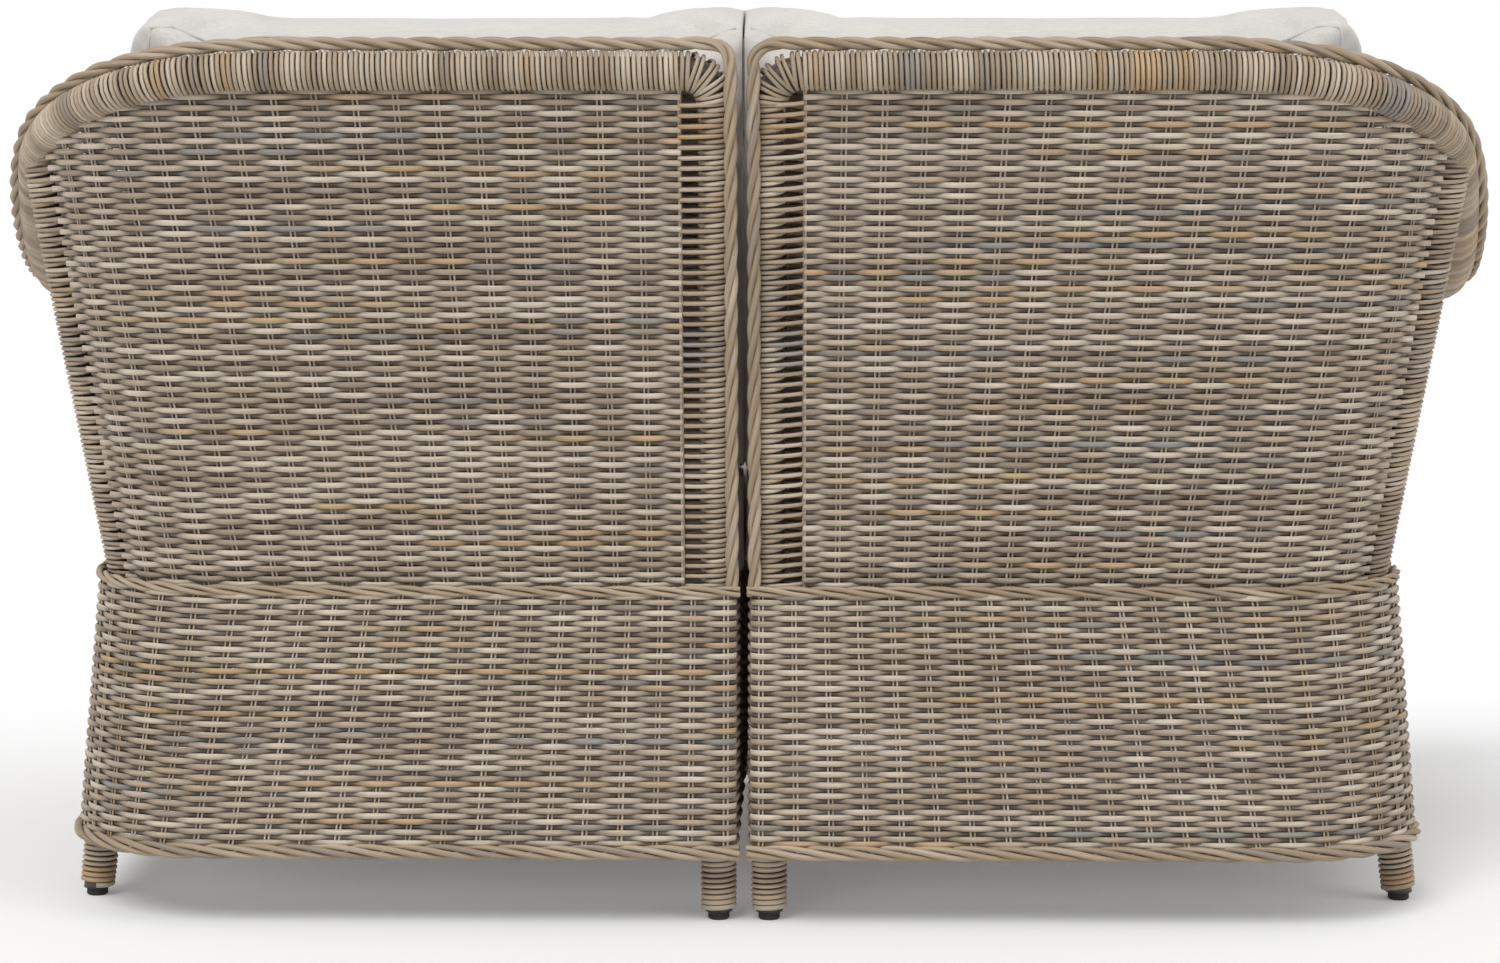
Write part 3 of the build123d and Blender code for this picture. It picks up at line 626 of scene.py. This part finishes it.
def remapped(tree, value, before=(0, 1), after=(0, 1)):
    """A number moved from one range to another, and held to it."""
    inputs = {
        "Value": value, "From Min": before[0], "From Max": before[1], "To Min": after[0], "To Max": after[1],
    }
    return put(tree, "ShaderNodeMapRange", inputs).outputs[0]


def noise_value(tree, place, scale, detail=2):
    """Noise between 0 and 1."""
    return put(tree, "ShaderNodeTexNoise", {"Vector": place, "Scale": scale, "Detail": detail}).outputs[0]


def bumped(tree, height, strength, distance):
    """A surface normal with fine relief."""
    inputs = {"Height": height, "Strength": strength, "Distance": distance}
    return put(tree, "ShaderNodeBump", inputs).outputs[0]


bone = (0.60, 0.52, 0.42)
beige = (0.42, 0.34, 0.255)
taupe = (0.30, 0.235, 0.175)
tan = (0.46, 0.325, 0.19)
slate = (0.27, 0.255, 0.24)


def weathered_and_shaded_group():
    """Colour, roughness and normal of weathered cane from the attributes of its strands, with painted shade
    behind stakes.
    """
    tree = bpy.data.node_groups.new("weathered_shaded_cane", "ShaderNodeTree")
    tree.interface.new_socket("Warmth", in_out="INPUT", socket_type="NodeSocketFloat")
    tree.interface.new_socket("Run Length", in_out="INPUT", socket_type="NodeSocketFloat")
    tree.interface.new_socket("Lightness", in_out="INPUT", socket_type="NodeSocketFloat")
    for label, kind in (("Color", "Color"), ("Roughness", "Float"), ("Normal", "Vector")):
        tree.interface.new_socket(label, in_out="OUTPUT", socket_type="NodeSocket" + kind)
    given = put(tree, "NodeGroupInput").outputs
    strand = parts_of(tree, put(tree, "ShaderNodeAttribute", attribute_name="strand").outputs["Vector"])
    around = put(tree, "ShaderNodeAttribute", attribute_name="around").outputs["Fac"]
    number = calc(tree, "MULTIPLY", strand[1], 3.71)
    neighbours = calc(tree, "MULTIPLY", strand[1], 0.85)
    run_at = combined(tree, calc(tree, "DIVIDE", strand[0], given["Run Length"]), neighbours, 0)
    tone = remapped(tree, noise_value(tree, run_at, 1, 1), (0.28, 0.72))
    stops = [(0, slate), (0.22, taupe), (0.45, beige), (0.62, bone), (0.78, beige), (0.92, tan)]
    colour = mixed(tree, given["Warmth"], ramp(tree, tone, stops), tan)
    along = calc(tree, "MULTIPLY", strand[0], 1.4)
    streak = noise_value(tree, combined(tree, along, number, calc(tree, "MULTIPLY", around, 9)), 1, 3)
    colour = shaded(tree, colour, remapped(tree, streak, (0.3, 0.7), (0.72, 1.14)))
    # Painted shade: a strand is darker the further behind the stakes it lies, and floats in front are a
    # little lighter.
    colour = shaded(tree, colour, remapped(tree, strand[2], (-0.6, 0.7), (0.5, 1.06)))
    colour = shaded(tree, colour, given["Lightness"])
    roughness = remapped(tree, streak, (0, 1), (0.5, 0.75))
    normal = bumped(tree, streak, 0.35, 0.0004)
    put(tree, "NodeGroupOutput", {"Color": colour, "Roughness": roughness, "Normal": normal})
    return tree


weathered = weathered_and_shaded_group()


def cane_finish(name, warmth, run_length, lightness):
    """Weathered cane, more or less tan, in tones that change after a number of stakes or turns."""
    material, tree = new_material(name)
    group = put(tree, "ShaderNodeGroup", node_tree=weathered)
    group.inputs["Warmth"].default_value = warmth
    group.inputs["Run Length"].default_value = run_length
    group.inputs["Lightness"].default_value = lightness
    look = group.outputs
    surface(tree, Base_Color=look["Color"], Roughness=look["Roughness"], Normal=look["Normal"], IOR=1.45)
    return material


panel_cane = cane_finish("weathered_panel_cane", 0.05, 16, 1.0)
wrap_cane = cane_finish("weathered_wrap_cane", 0.18, 7, 1.0)
# The braid's lightness of 0.84 darkens it all over: painted shade for the shade in the grooves of its
# twists.
braid_cane = cane_finish("weathered_braid_cane", 0.4, 6, 0.84)
print("cane finishes ready")


# %% [markdown]
# ## Finishes of the frame
# The tubes are powder-coated a dark brown, with the faint orange-peel of baked powder. The slats have the
# same coat, a little more worn. Plugs are moulded plastic, and the glides under them are black rubber.


# %% Coated metal, plastic and rubber
def coated_finish(name, colour, wear):
    """Powder coat with orange-peel relief and paler rubbed patches."""
    material, tree = new_material(name)
    place = put(tree, "ShaderNodeTexCoord").outputs["Object"]
    peel = noise_value(tree, place, 900)
    patches = remapped(tree, noise_value(tree, place, 18, 4), (0.55, 0.8))
    rubbed = tuple(channel * 1.6 for channel in colour)
    tint = mixed(tree, calc(tree, "MULTIPLY", patches, wear), colour, rubbed)
    rough = remapped(tree, peel, (0, 1), (0.38, 0.55))
    surface(tree, Base_Color=tint, Roughness=rough, Normal=bumped(tree, peel, 0.2, 0.0003), IOR=1.5)
    return material


def moulded_finish(name, colour, roughness, grain):
    """Moulded plastic or rubber with a fine grain."""
    material, tree = new_material(name)
    place = put(tree, "ShaderNodeTexCoord").outputs["Object"]
    speck = noise_value(tree, place, grain)
    tint = mixed(tree, speck, colour, tuple(channel * 1.5 for channel in colour))
    surface(tree, Base_Color=tint, Roughness=roughness, Normal=bumped(tree, speck, 0.3, 0.0002))
    return material


tube_coat = coated_finish("brown_tube_coat", (0.075, 0.052, 0.038), 0.5)
slat_coat = coated_finish("brown_slat_coat", (0.085, 0.06, 0.045), 0.8)
plug_plastic = moulded_finish("black_plug_plastic", (0.02, 0.02, 0.02), 0.45, 600)
glide_rubber = moulded_finish("black_glide_rubber", (0.012, 0.012, 0.012), 0.75, 1200)
tubes = ["frame_hoop", "outer_back_post", "inner_front_leg", "back_stay", "hem_hoop", "seat_ring"]
coats = {tube: tube_coat for tube in tubes}
coats["seat_slats"] = slat_coat
coats["leg_plugs"] = plug_plastic
for leg in legs:
    coats["foot_" + leg] = glide_rubber
for side in sides:
    for node, coat in coats.items():
        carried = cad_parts[f"{side}_{node}"]
        carried.data.materials.clear()
        carried.data.materials.append(coat)
print("frame finishes on", 2 * len(coats), "nodes")


# %% [markdown]
# ## Woven panels
# Each half has four woven surfaces: the skirt, which goes all the way round under the seat, the back, the
# arm, and the lining on the sitter's side. The rows are level and the sloping rail cuts them off. A guide
# sheet says where the middle of the weave lies, which way it faces and how high it may go, and the tree
# weaves on it.

# %% Weave sizes
row_pitch = 0.00535
cane_width = 0.0064
cane_thickness = 0.0027
stake_radius = 0.0012
pair_share = 0.115
row_wobble = 0.0006
rail_cover = 0.009


# %% Guide sheets
def guide_sheet(name, columns, shares, outward, tops, mirror):
    """A sheet two points high, with the share across and up it, its facing and its height on its points."""
    points = []
    facing = []
    for (foot, head), way in zip(columns, outward):
        for point in (foot, head):
            points.append((point.x * mirror, point.y, point.z))
            facing += [way.x * mirror, way.y, way.z]
    quads = [(2 * i, 2 * i + 2, 2 * i + 3, 2 * i + 1) for i in range(len(columns) - 1)]
    mesh = bpy.data.meshes.new(name)
    mesh.from_pydata(points, [], quads)
    layer = mesh.uv_layers.new(name="UVMap")
    for loop in mesh.loops:
        layer.data[loop.index].uv = (shares[loop.vertex_index // 2], loop.vertex_index % 2)
    mesh.attributes.new("outward", "FLOAT_VECTOR", "POINT").data.foreach_set("vector", facing)
    top = [tops[index // 2] for index in range(len(points))]
    mesh.attributes.new("top", "FLOAT", "POINT").data.foreach_set("value", top)
    return mesh


def wall_columns(waist_range, hoop_range, foot_offset, head_offset, count=64):
    """Upright lines of a wall between the waist and the rail, set off from the frame's middle surface."""
    columns, shares, outward, tops = [], [], [], []
    for index in range(count + 1):
        share = index / count
        foot, way = spot(waist, waist_range[0] + share * (waist_range[1] - waist_range[0]))
        head = spot(hoop, hoop_range[0] + share * (hoop_range[1] - hoop_range[0]))[0]
        up = (head - foot).normalized()
        out = up.cross(way).normalized()
        reach = (rail_height - foot.z) / (head.z - foot.z)
        offset = foot_offset + (head_offset - foot_offset) * reach
        columns.append((foot + out * foot_offset, foot + (head - foot) * reach + out * offset))
        shares.append(share)
        outward.append(out)
        tops.append((head.z - rail_cover - foot.z) / (rail_height - foot.z))
    return columns, shares, outward, tops


def weave(name, half, sheet, rows, stakes, nodes, seed, steps=4, profile=6):
    """Weaves one panel of a half and puts it in place of its CAD nodes."""
    settings = {
        "Rows": rows, "Stakes": stakes, "Steps": steps, "Sides": profile, "Cane Width": cane_width,
        "Cane Thickness": cane_thickness, "Stake Radius": stake_radius, "Pair Share": pair_share,
        "Wobble": row_wobble, "Seed": seed, "Finish": panel_cane,
    }
    piece = grow(f"{half}_{name}", sheet, woven_cane, settings)
    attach(piece, half + "_half")
    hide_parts(*[f"{half}_{node}" for node in nodes])


# %% Back, arm and lining
wrap_edge = 0.034
tube_edge = 0.016
beside_post = 0.016
comb_reach = 0.052
wall_rows = round((rail_height - waist_height) / row_pitch)
head_start = distance_to(hoop, lambda p: p.x > post.x + wrap_edge)
lining_start = distance_to(hoop, lambda p: p.x > post.x + tube_edge)
waist_end = run_lengths(waist)[-1]
back_foot = (wrap_edge, outer_foot_at - comb_reach)
back_head = (head_start, outer_head_at - comb_reach)
arm_foot_range = (outer_foot_at + beside_post, waist_end - beside_post)
arm_head_range = (outer_head_at + beside_post, arm_end)
lining_depth = -0.0223
walls = {
    "woven_back": (back_foot, back_head, 0.014, 0.005),
    "woven_arm": (arm_foot_range, arm_head_range, 0.007, 0.001),
    "woven_lining": ((tube_edge, waist_end - 0.018), (lining_start, arm_end), lining_depth, lining_depth),
}
wall_stakes = {"woven_back": 17, "woven_arm": 17, "woven_lining": 33}
wall_nodes = {"woven_back": ["back_weave"], "woven_arm": ["arm_weave"], "woven_lining": ["inner_lining"]}
for number, (name, ranges) in enumerate(walls.items()):
    columns, shares, outward, tops = wall_columns(*ranges)
    steps, profile = 4, 6
    if name == "woven_lining":
        outward = [-way for way in outward]
        steps, profile = 3, 5
    for half, mirror in sides.items():
        sheet = guide_sheet(name, columns, shares, outward, tops, mirror)
        seed = 2 * number + (mirror < 0)
        weave(name, half, sheet, wall_rows, wall_stakes[name], wall_nodes[name], seed, steps, profile)


# %% Skirt
def base_reach(height, inset):
    """Back, front, side and back corner radius of the base at a height, drawn in from its outer face."""
    spread = (waist_height - height) / (waist_height - hem_height)
    reach = {key: waist_reach[key] + spread * (hem_reach[key] - waist_reach[key]) for key in waist_reach}
    return reach["back"] - inset, reach["front"] + inset, reach["side"] - inset, reach["corner"] - inset


def base_outline(height, inset):
    """The base's plan at a height, from the middle of the seam once round the half."""
    inner = seam_side + inset
    back, front, side, corner = base_reach(height, inset)
    corners = [(inner, 0), (inner, back), (side, back), (side, front), (inner, front), (inner, 0)]
    radii = {1: seam_corner, 2: corner, 3: front_corner - inset, 4: seam_corner}
    return rounded([Vector((x, y, height)) for x, y in corners], radii, 12)


def divided(line, counts):
    """A line with each of its stretches cut into a number of equal steps."""
    points = [line[0]]
    for before, after, count in zip(line, line[1:], counts):
        points += [before.lerp(after, (index + 1) / count) for index in range(count)]
    return points


skirt_low = hem_height + 0.006
skirt_high = waist_height - 0.003
low_line = base_outline(skirt_low, cane_depth / 2)
high_line = base_outline(skirt_high, cane_depth / 2)
counts = [max(1, round((after - before).length / 0.03)) for before, after in zip(low_line, low_line[1:])]
low_line = divided(low_line, counts)
high_line = divided(high_line, counts)
reached = run_lengths(low_line)
skirt_columns = list(zip(low_line, high_line))
skirt_shares = [length / reached[-1] for length in reached]
skirt_outward = []
for index, (foot, head) in enumerate(skirt_columns):
    way = low_line[min(index + 1, len(low_line) - 1)] - low_line[max(index - 1, 0)]
    skirt_outward.append((head - foot).cross(way).normalized())
stake_pitch = 0.036
skirt_stakes = 2 * round(reached[-1] / stake_pitch / 2)
skirt_rows = round((skirt_high - skirt_low) / row_pitch)
skirt_tops = [1.1] * len(skirt_columns)
for half, mirror in sides.items():
    sheet = guide_sheet("skirt", skirt_columns, skirt_shares, skirt_outward, skirt_tops, mirror)
    weave("woven_skirt", half, sheet, skirt_rows, skirt_stakes, ["base_weave"], 7 + (mirror < 0))


# %% [markdown]
# ## Wound tubes
# Single strands are wound over the rail, the arm, the posts and the legs. The turns lie tight, with small
# uneven gaps. At the inner post every other turn also takes in the edge of the back panel, which leaves the
# comb of pale strands and dark gaps beside the seam.


# %% Windings
def guide_line(name, points, mirror, girths=None):
    """A line of points for a winding, with how much wider than usual it is at each."""
    mesh = bpy.data.meshes.new(name)
    edges = [(index, index + 1) for index in range(len(points) - 1)]
    mesh.from_pydata([(point.x * mirror, point.y, point.z) for point in points], edges, [])
    mesh.attributes.new("girth", "FLOAT", "POINT").data.foreach_set("value", girths or [1.0] * len(points))
    return mesh


def wind(name, half, line, settings, nodes, finish, girths=None):
    """Winds strands along a line of a half, in place of its CAD nodes."""
    mirror = sides[half]
    usual = {
        "Strands": 1, "Sides": 5, "Straight": 0.0, "Shift": 0.0, "Start": 0.0, "Unevenness": 0.0012,
        "Seed": 11 + (mirror < 0), "Level": False, "Finish": finish,
    }
    chosen = {**usual, **settings}
    turns = run_lengths(line)[-1] / chosen.pop("Lay")
    chosen["Turns"] = turns
    chosen["Points"] = round(turns * chosen.pop("Points per Turn"))
    chosen["Shift"] *= mirror
    piece = grow(f"{half}_{name}", guide_line(name, line, mirror, girths), wound_cane, chosen)
    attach(piece, half + "_half")
    if nodes:
        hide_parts(*[f"{half}_{node}" for node in nodes])


def circled(radius):
    """The settings that wind a strand round a tube."""
    return {"Half Width": radius, "Half Height": radius}


wrap_turn = {"Points per Turn": 14, "Strand Size": 0.0044, "Strand Width": 0.0047}
post_wrap = {**wrap_turn, **circled(0.0162), "Lay": 0.0104, "Level": True}
outer_wrap = {**post_wrap, **circled(0.0164), "Unevenness": 0.002}
rail_line = between(hoop, crest_start, arm_foot)
inner_line = between(hoop, 0, crest_start)
outer_line = [Vector(outer_foot), Vector(outer_head)]
front_line = between(hoop, arm_foot, run_lengths(hoop)[-1])
arm_swell = 1.3
girths = []
for point in rail_line:
    part_way = min(max((0.36 - point.y) / 0.3, 0), 1)
    girths.append(1 + (arm_swell - 1) * (part_way * part_way * (3 - 2 * part_way)))
windings = [
    ("wound_rail", rail_line, ["rail_wrap"], girths,
     {**wrap_turn, **circled(0.0182), "Lay": 0.0052, "Unevenness": 0.002}),
    ("wound_inner_post", inner_line, ["inner_post_wrap"], None, post_wrap),
    ("comb_inner_post", inner_line, [], None,
     {**post_wrap, "Straight": 0.0108, "Shift": 0.0108, "Start": 0.5, "Seed": 14}),
    ("wound_outer_post", outer_line, ["outer_post_wrap"], None,
     {**outer_wrap, "Straight": 0.008, "Shift": -0.008}),
    ("comb_outer_post", outer_line, [], None,
     {**outer_wrap, "Straight": 0.0165, "Shift": -0.0165, "Start": 0.5, "Seed": 17}),
    ("wound_front_post", front_line, ["front_post_wrap"], None,
     {**wrap_turn, **circled(0.0162), "Lay": 0.0053}),
]
for half in sides:
    for name, line, nodes, widths, settings in windings:
        wind(name, half, line, settings, nodes, wrap_cane, widths)


# %% Legs
leg_start = 0.0125
leg_end = 0.075
leg_wrap = {
    **circled(0.0163), "Points per Turn": 20, "Sides": 6, "Strand Size": 0.0040, "Strand Width": 0.0054,
    "Lay": 0.0056, "Unevenness": 0.0008,
}
for half in sides:
    for number, (leg, (foot, waist_point)) in enumerate(legs.items()):
        along = waist_point - foot
        line = [foot + along * (height / along.z) for height in (leg_start, leg_end)]
        nodes = ["leg_wraps"] if number == 0 else []
        wind("wound_leg_" + leg, half, line, {**leg_wrap, "Seed": 20 + number}, nodes, wrap_cane)


# %% [markdown]
# ## Twisted borders
# A border of strands in a long, slack twist covers each edge: one runs up beside the seam, over the crest of
# the back and along the outside of the arm, one lies at the waist and a heavier one at the hem.


# %% Twisted borders
back_lean = math.atan2(rail_back - post.y, rail_height - waist_height)


def rail_border_line():
    """The rail border's route: up the seam, round the top corner, over the rail and down the front post."""
    reach = 0.0262
    post_reach = 0.0248
    edge = 0.0112
    lead = 0.04
    beside = post.x - edge

    def behind_post(height, distance):
        y = post.y + (height - waist_height) * math.tan(back_lean) + distance * math.cos(back_lean)
        return Vector((edge, y, height - distance * math.sin(back_lean)))

    low = math.sqrt(post_reach ** 2 - beside ** 2)
    high = math.sqrt(reach ** 2 - beside ** 2)
    rail = []
    for run in rail_runs:
        part_way = min(max((run - 0.17) / 0.28, 0), 1)
        angle = math.pi / 4 * (1 + math.cos(math.pi * part_way))
        heading = (rail_point(run + 0.0003) - rail_point(run)).normalized()
        outward = Vector((-heading.y, heading.x, 0)).normalized()
        side_way = outward * math.cos(angle) + heading.cross(outward) * math.sin(angle)
        rail.append(rail_point(run) + side_way * reach)
    slope = (arm_corner - front_foot).normalized()
    across = Vector((slope.z, 0, -slope.x)).normalized() * reach
    points = [
        behind_post(waist_height + 0.006, low),
        behind_post(rail_height - inner_bend - lead, low),
        behind_post(rail_height - inner_bend / 2, high),
        Vector((edge, rail_back + high / 2, rail_height + reach)),
        Vector((edge + inner_bend + lead, rail_back, rail_height + reach)),
        *rail,
        arm_corner + across,
        front_foot + slope * (reach / slope.z) + across,
    ]
    return rounded(points, {3: inner_bend, len(points) - 2: front_bend})


def border_line(height, inset):
    """The line of a border round the back, side and front of the base, open along the seam."""
    back, front, side, corner = base_reach(height, inset)
    corners = [(seam_side, back), (side, back), (side, front), (seam_side, front)]
    return rounded([Vector((x, y, height)) for x, y in corners], {1: corner, 2: front_corner - inset}, 16)


twist = {"Strands": 3, "Points per Turn": 20, "Sides": 6, "Unevenness": 0.003}
border_inset = 0.003
borders = [
    ("rail_twist", rail_border_line(), "rail_braid",
     {**twist, **circled(0.0037), "Lay": 0.10, "Strand Size": 0.0070, "Strand Width": 0.0070}),
    ("waist_twist", border_line(waist_height, border_inset), "waist_braid",
     {**twist, "Lay": 0.11, "Strand Size": 0.005, "Strand Width": 0.0052, "Half Width": 0.0030,
      "Half Height": 0.0036, "Level": True}),
    ("hem_twist", border_line(hem_height, border_inset), "hem_braid",
     {**twist, "Strands": 4, "Lay": 0.15, "Strand Size": 0.0060, "Strand Width": 0.0064,
      "Half Width": 0.0046, "Half Height": 0.0050, "Level": True}),
]
for half in sides:
    for name, line, node, settings in borders:
        wind(name, half, line, settings, [node], braid_cane)


# %% [markdown]
# ## Cushions
# Each half has a seat cushion and a back cushion: a foam block in a boxed cover of pale linen-look cloth.
# The cloth is filled by simulation: it starts from the foam's own shape and air pressure swells it, with its
# movement capped. It is then fitted to its room between the arm, the lining, the slats and the other
# cushion. Seams follow where cover panels meet, found by rays from all round the finished cushion.


# %% Linen-look cloth
def cloth_finish(name, colour):
    """Pale plain-woven cloth with slubs in both directions."""
    material, tree = new_material(name)
    place = put(tree, "ShaderNodeTexCoord").outputs["Object"]
    along = vector(tree, "MULTIPLY", place, (60, 700, 700))
    across = vector(tree, "MULTIPLY", place, (700, 700, 60))
    warp = noise_value(tree, along, 1, 2)
    weft = noise_value(tree, across, 1, 2)
    both = calc(tree, "MULTIPLY", calc(tree, "ADD", warp, weft), 0.5)
    cloud = noise_value(tree, place, 7, 3)
    tint = shaded(tree, colour, remapped(tree, both, (0.3, 0.7), (0.86, 1.08)))
    tint = shaded(tree, tint, remapped(tree, cloud, (0.3, 0.7), (0.95, 1.03)))
    shader = surface(tree, Base_Color=tint, Roughness=0.92, Normal=bumped(tree, both, 0.4, 0.0005))
    shader.inputs["Sheen Weight"].default_value = 0.25
    return material


linen = cloth_finish("pale_linen", (0.69, 0.66, 0.625))


# %% Filling the cushions
voxel = 0.008
pressure = 4
filling_frames = 20


def plain_mesh(piece):
    """The mesh of a piece with its modifiers applied."""
    depsgraph = bpy.context.evaluated_depsgraph_get()
    return bpy.data.meshes.new_from_object(piece.evaluated_get(depsgraph))


def with_modifier(piece, kind, **options):
    """Adds a modifier, keeps its result as the piece's mesh and takes it off again."""
    modifier = piece.modifiers.new(kind.lower(), kind)
    for name, value in options.items():
        setattr(modifier, name, value)
    mesh = plain_mesh(piece)
    piece.modifiers.clear()
    piece.data = mesh


def fill(piece, cap):
    """Swells a cushion by air pressure, with a cap on how far each point moves."""
    start = [vertex.co.copy() for vertex in piece.data.vertices]
    cloth = piece.modifiers.new("fill", "CLOTH")
    cloth.settings.use_pressure = True
    cloth.settings.uniform_pressure_force = pressure
    cloth.settings.effector_weights.gravity = 0
    for number in range(1, filling_frames + 1):
        bpy.context.scene.frame_set(number)
    filled = plain_mesh(piece)
    piece.modifiers.clear()
    for before, vertex in zip(start, filled.vertices):
        move = vertex.co - before
        if move.length > cap:
            vertex.co = before + move.normalized() * cap
    piece.data = filled
    bpy.context.scene.frame_set(1)


def fit(piece, low, high, flattened):
    """Stretches a cushion to the room that it fills, and flattens it where it rests and beside the seam."""
    for axis in range(3):
        places = [vertex.co[axis] for vertex in piece.data.vertices]
        least, most = min(places), max(places)
        start = low[axis] - flattened[axis]
        for vertex in piece.data.vertices:
            share = (vertex.co[axis] - least) / (most - least)
            vertex.co[axis] = min(max(start + (high[axis] - start) * share, low[axis]), high[axis])


def seam(name, half, piece, body, centre, first, second):
    """A sewn seam round a cushion, in the plane of two directions through a centre."""
    points = [vertex.co for vertex in piece.data.vertices]
    cover = BVHTree.FromPolygons(points, [polygon.vertices for polygon in piece.data.polygons])
    curve = bpy.data.curves.new(name, "CURVE")
    curve.dimensions = "3D"
    curve.bevel_depth = seam_radius
    curve.bevel_resolution = 1
    spline = curve.splines.new("POLY")
    spline.points.add(seam_points - 1)
    spline.use_cyclic_u = True
    for index, point in enumerate(spline.points):
        angle = 2 * math.pi * index / seam_points
        way = first * math.cos(angle) + second * math.sin(angle)
        hit = cover.ray_cast(centre + way, -way)[0]
        point.co = (*(hit - way.normalized() * seam_radius * seam_sink), 1)
    tube = link(f"{half}_{name}_curve", curve)
    mesh = plain_mesh(tube)
    bpy.data.objects.remove(tube)
    mesh.materials.append(linen)
    mesh.shade_smooth()
    sewn = link(f"{half}_{name}", mesh)
    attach(sewn, body)


def mirrored(name, mesh):
    """The mirror image of a mesh about the middle of the loveseat."""
    copy = mesh.copy()
    copy.name = name
    for vertex in copy.vertices:
        vertex.co.x = -vertex.co.x
    copy.flip_normals()
    return link(name, copy)


# %% Seat and back cushions
seam_radius = 0.0022
seam_sink = 0.1
seam_points = 160
sideways = Vector((1, 0, 0))
cushions = {
    "seat_cushion": {
        "cap": 0.022, "fill": 0.75, "past_low": (0.0080, 0.004, 0), "past_high": (0.004, 0, 0.008),
        "flattened": (0.016, 0, 0.010), "along": Vector((0, 1, 0)),
        "seams": {"upper": 0.044, "lower": -0.044},
    },
    "back_cushion": {
        "cap": 0.024, "fill": 0.65, "past_low": (0.0086, 0.010, 0), "past_high": (0.006, 0, 0.004),
        "flattened": (0.026, 0, 0.006), "along": Vector((0, math.sin(back_lean), math.cos(back_lean))),
        "seams": {"rear": -0.042, "front": 0.042},
    },
}
for name, facts in cushions.items():
    low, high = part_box(f"left_{name}_cover")
    low = Vector(low) - Vector(facts["past_low"])
    high = Vector(high) + Vector(facts["past_high"])
    made = link(f"left_{name}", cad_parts[f"left_{name}_core"].data.copy())
    with_modifier(made, "REMESH", mode="VOXEL", voxel_size=voxel)
    fill(made, facts["cap"])
    fit(made, low, high, facts["flattened"])
    with_modifier(made, "SUBSURF", levels=1)
    made.data.materials.clear()
    made.data.materials.append(linen)
    made.data.shade_smooth()
    middle = (low + high) / 2
    along = facts["along"]
    for half in sides:
        piece = made if half == "left" else mirrored(f"right_{name}", made.data)
        body = f"{half}_{name}"
        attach(piece, body)
        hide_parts(f"{body}_cover", f"{body}_core")
        centre = Vector((middle.x * sides[half], middle.y, middle.z))
        for label, offset in facts["seams"].items():
            level = centre + sideways.cross(along) * offset
            seam(f"{name}_{label}_seam", half, piece, body, level, sideways, along)
    print(name, len(made.data.polygons), "faces")
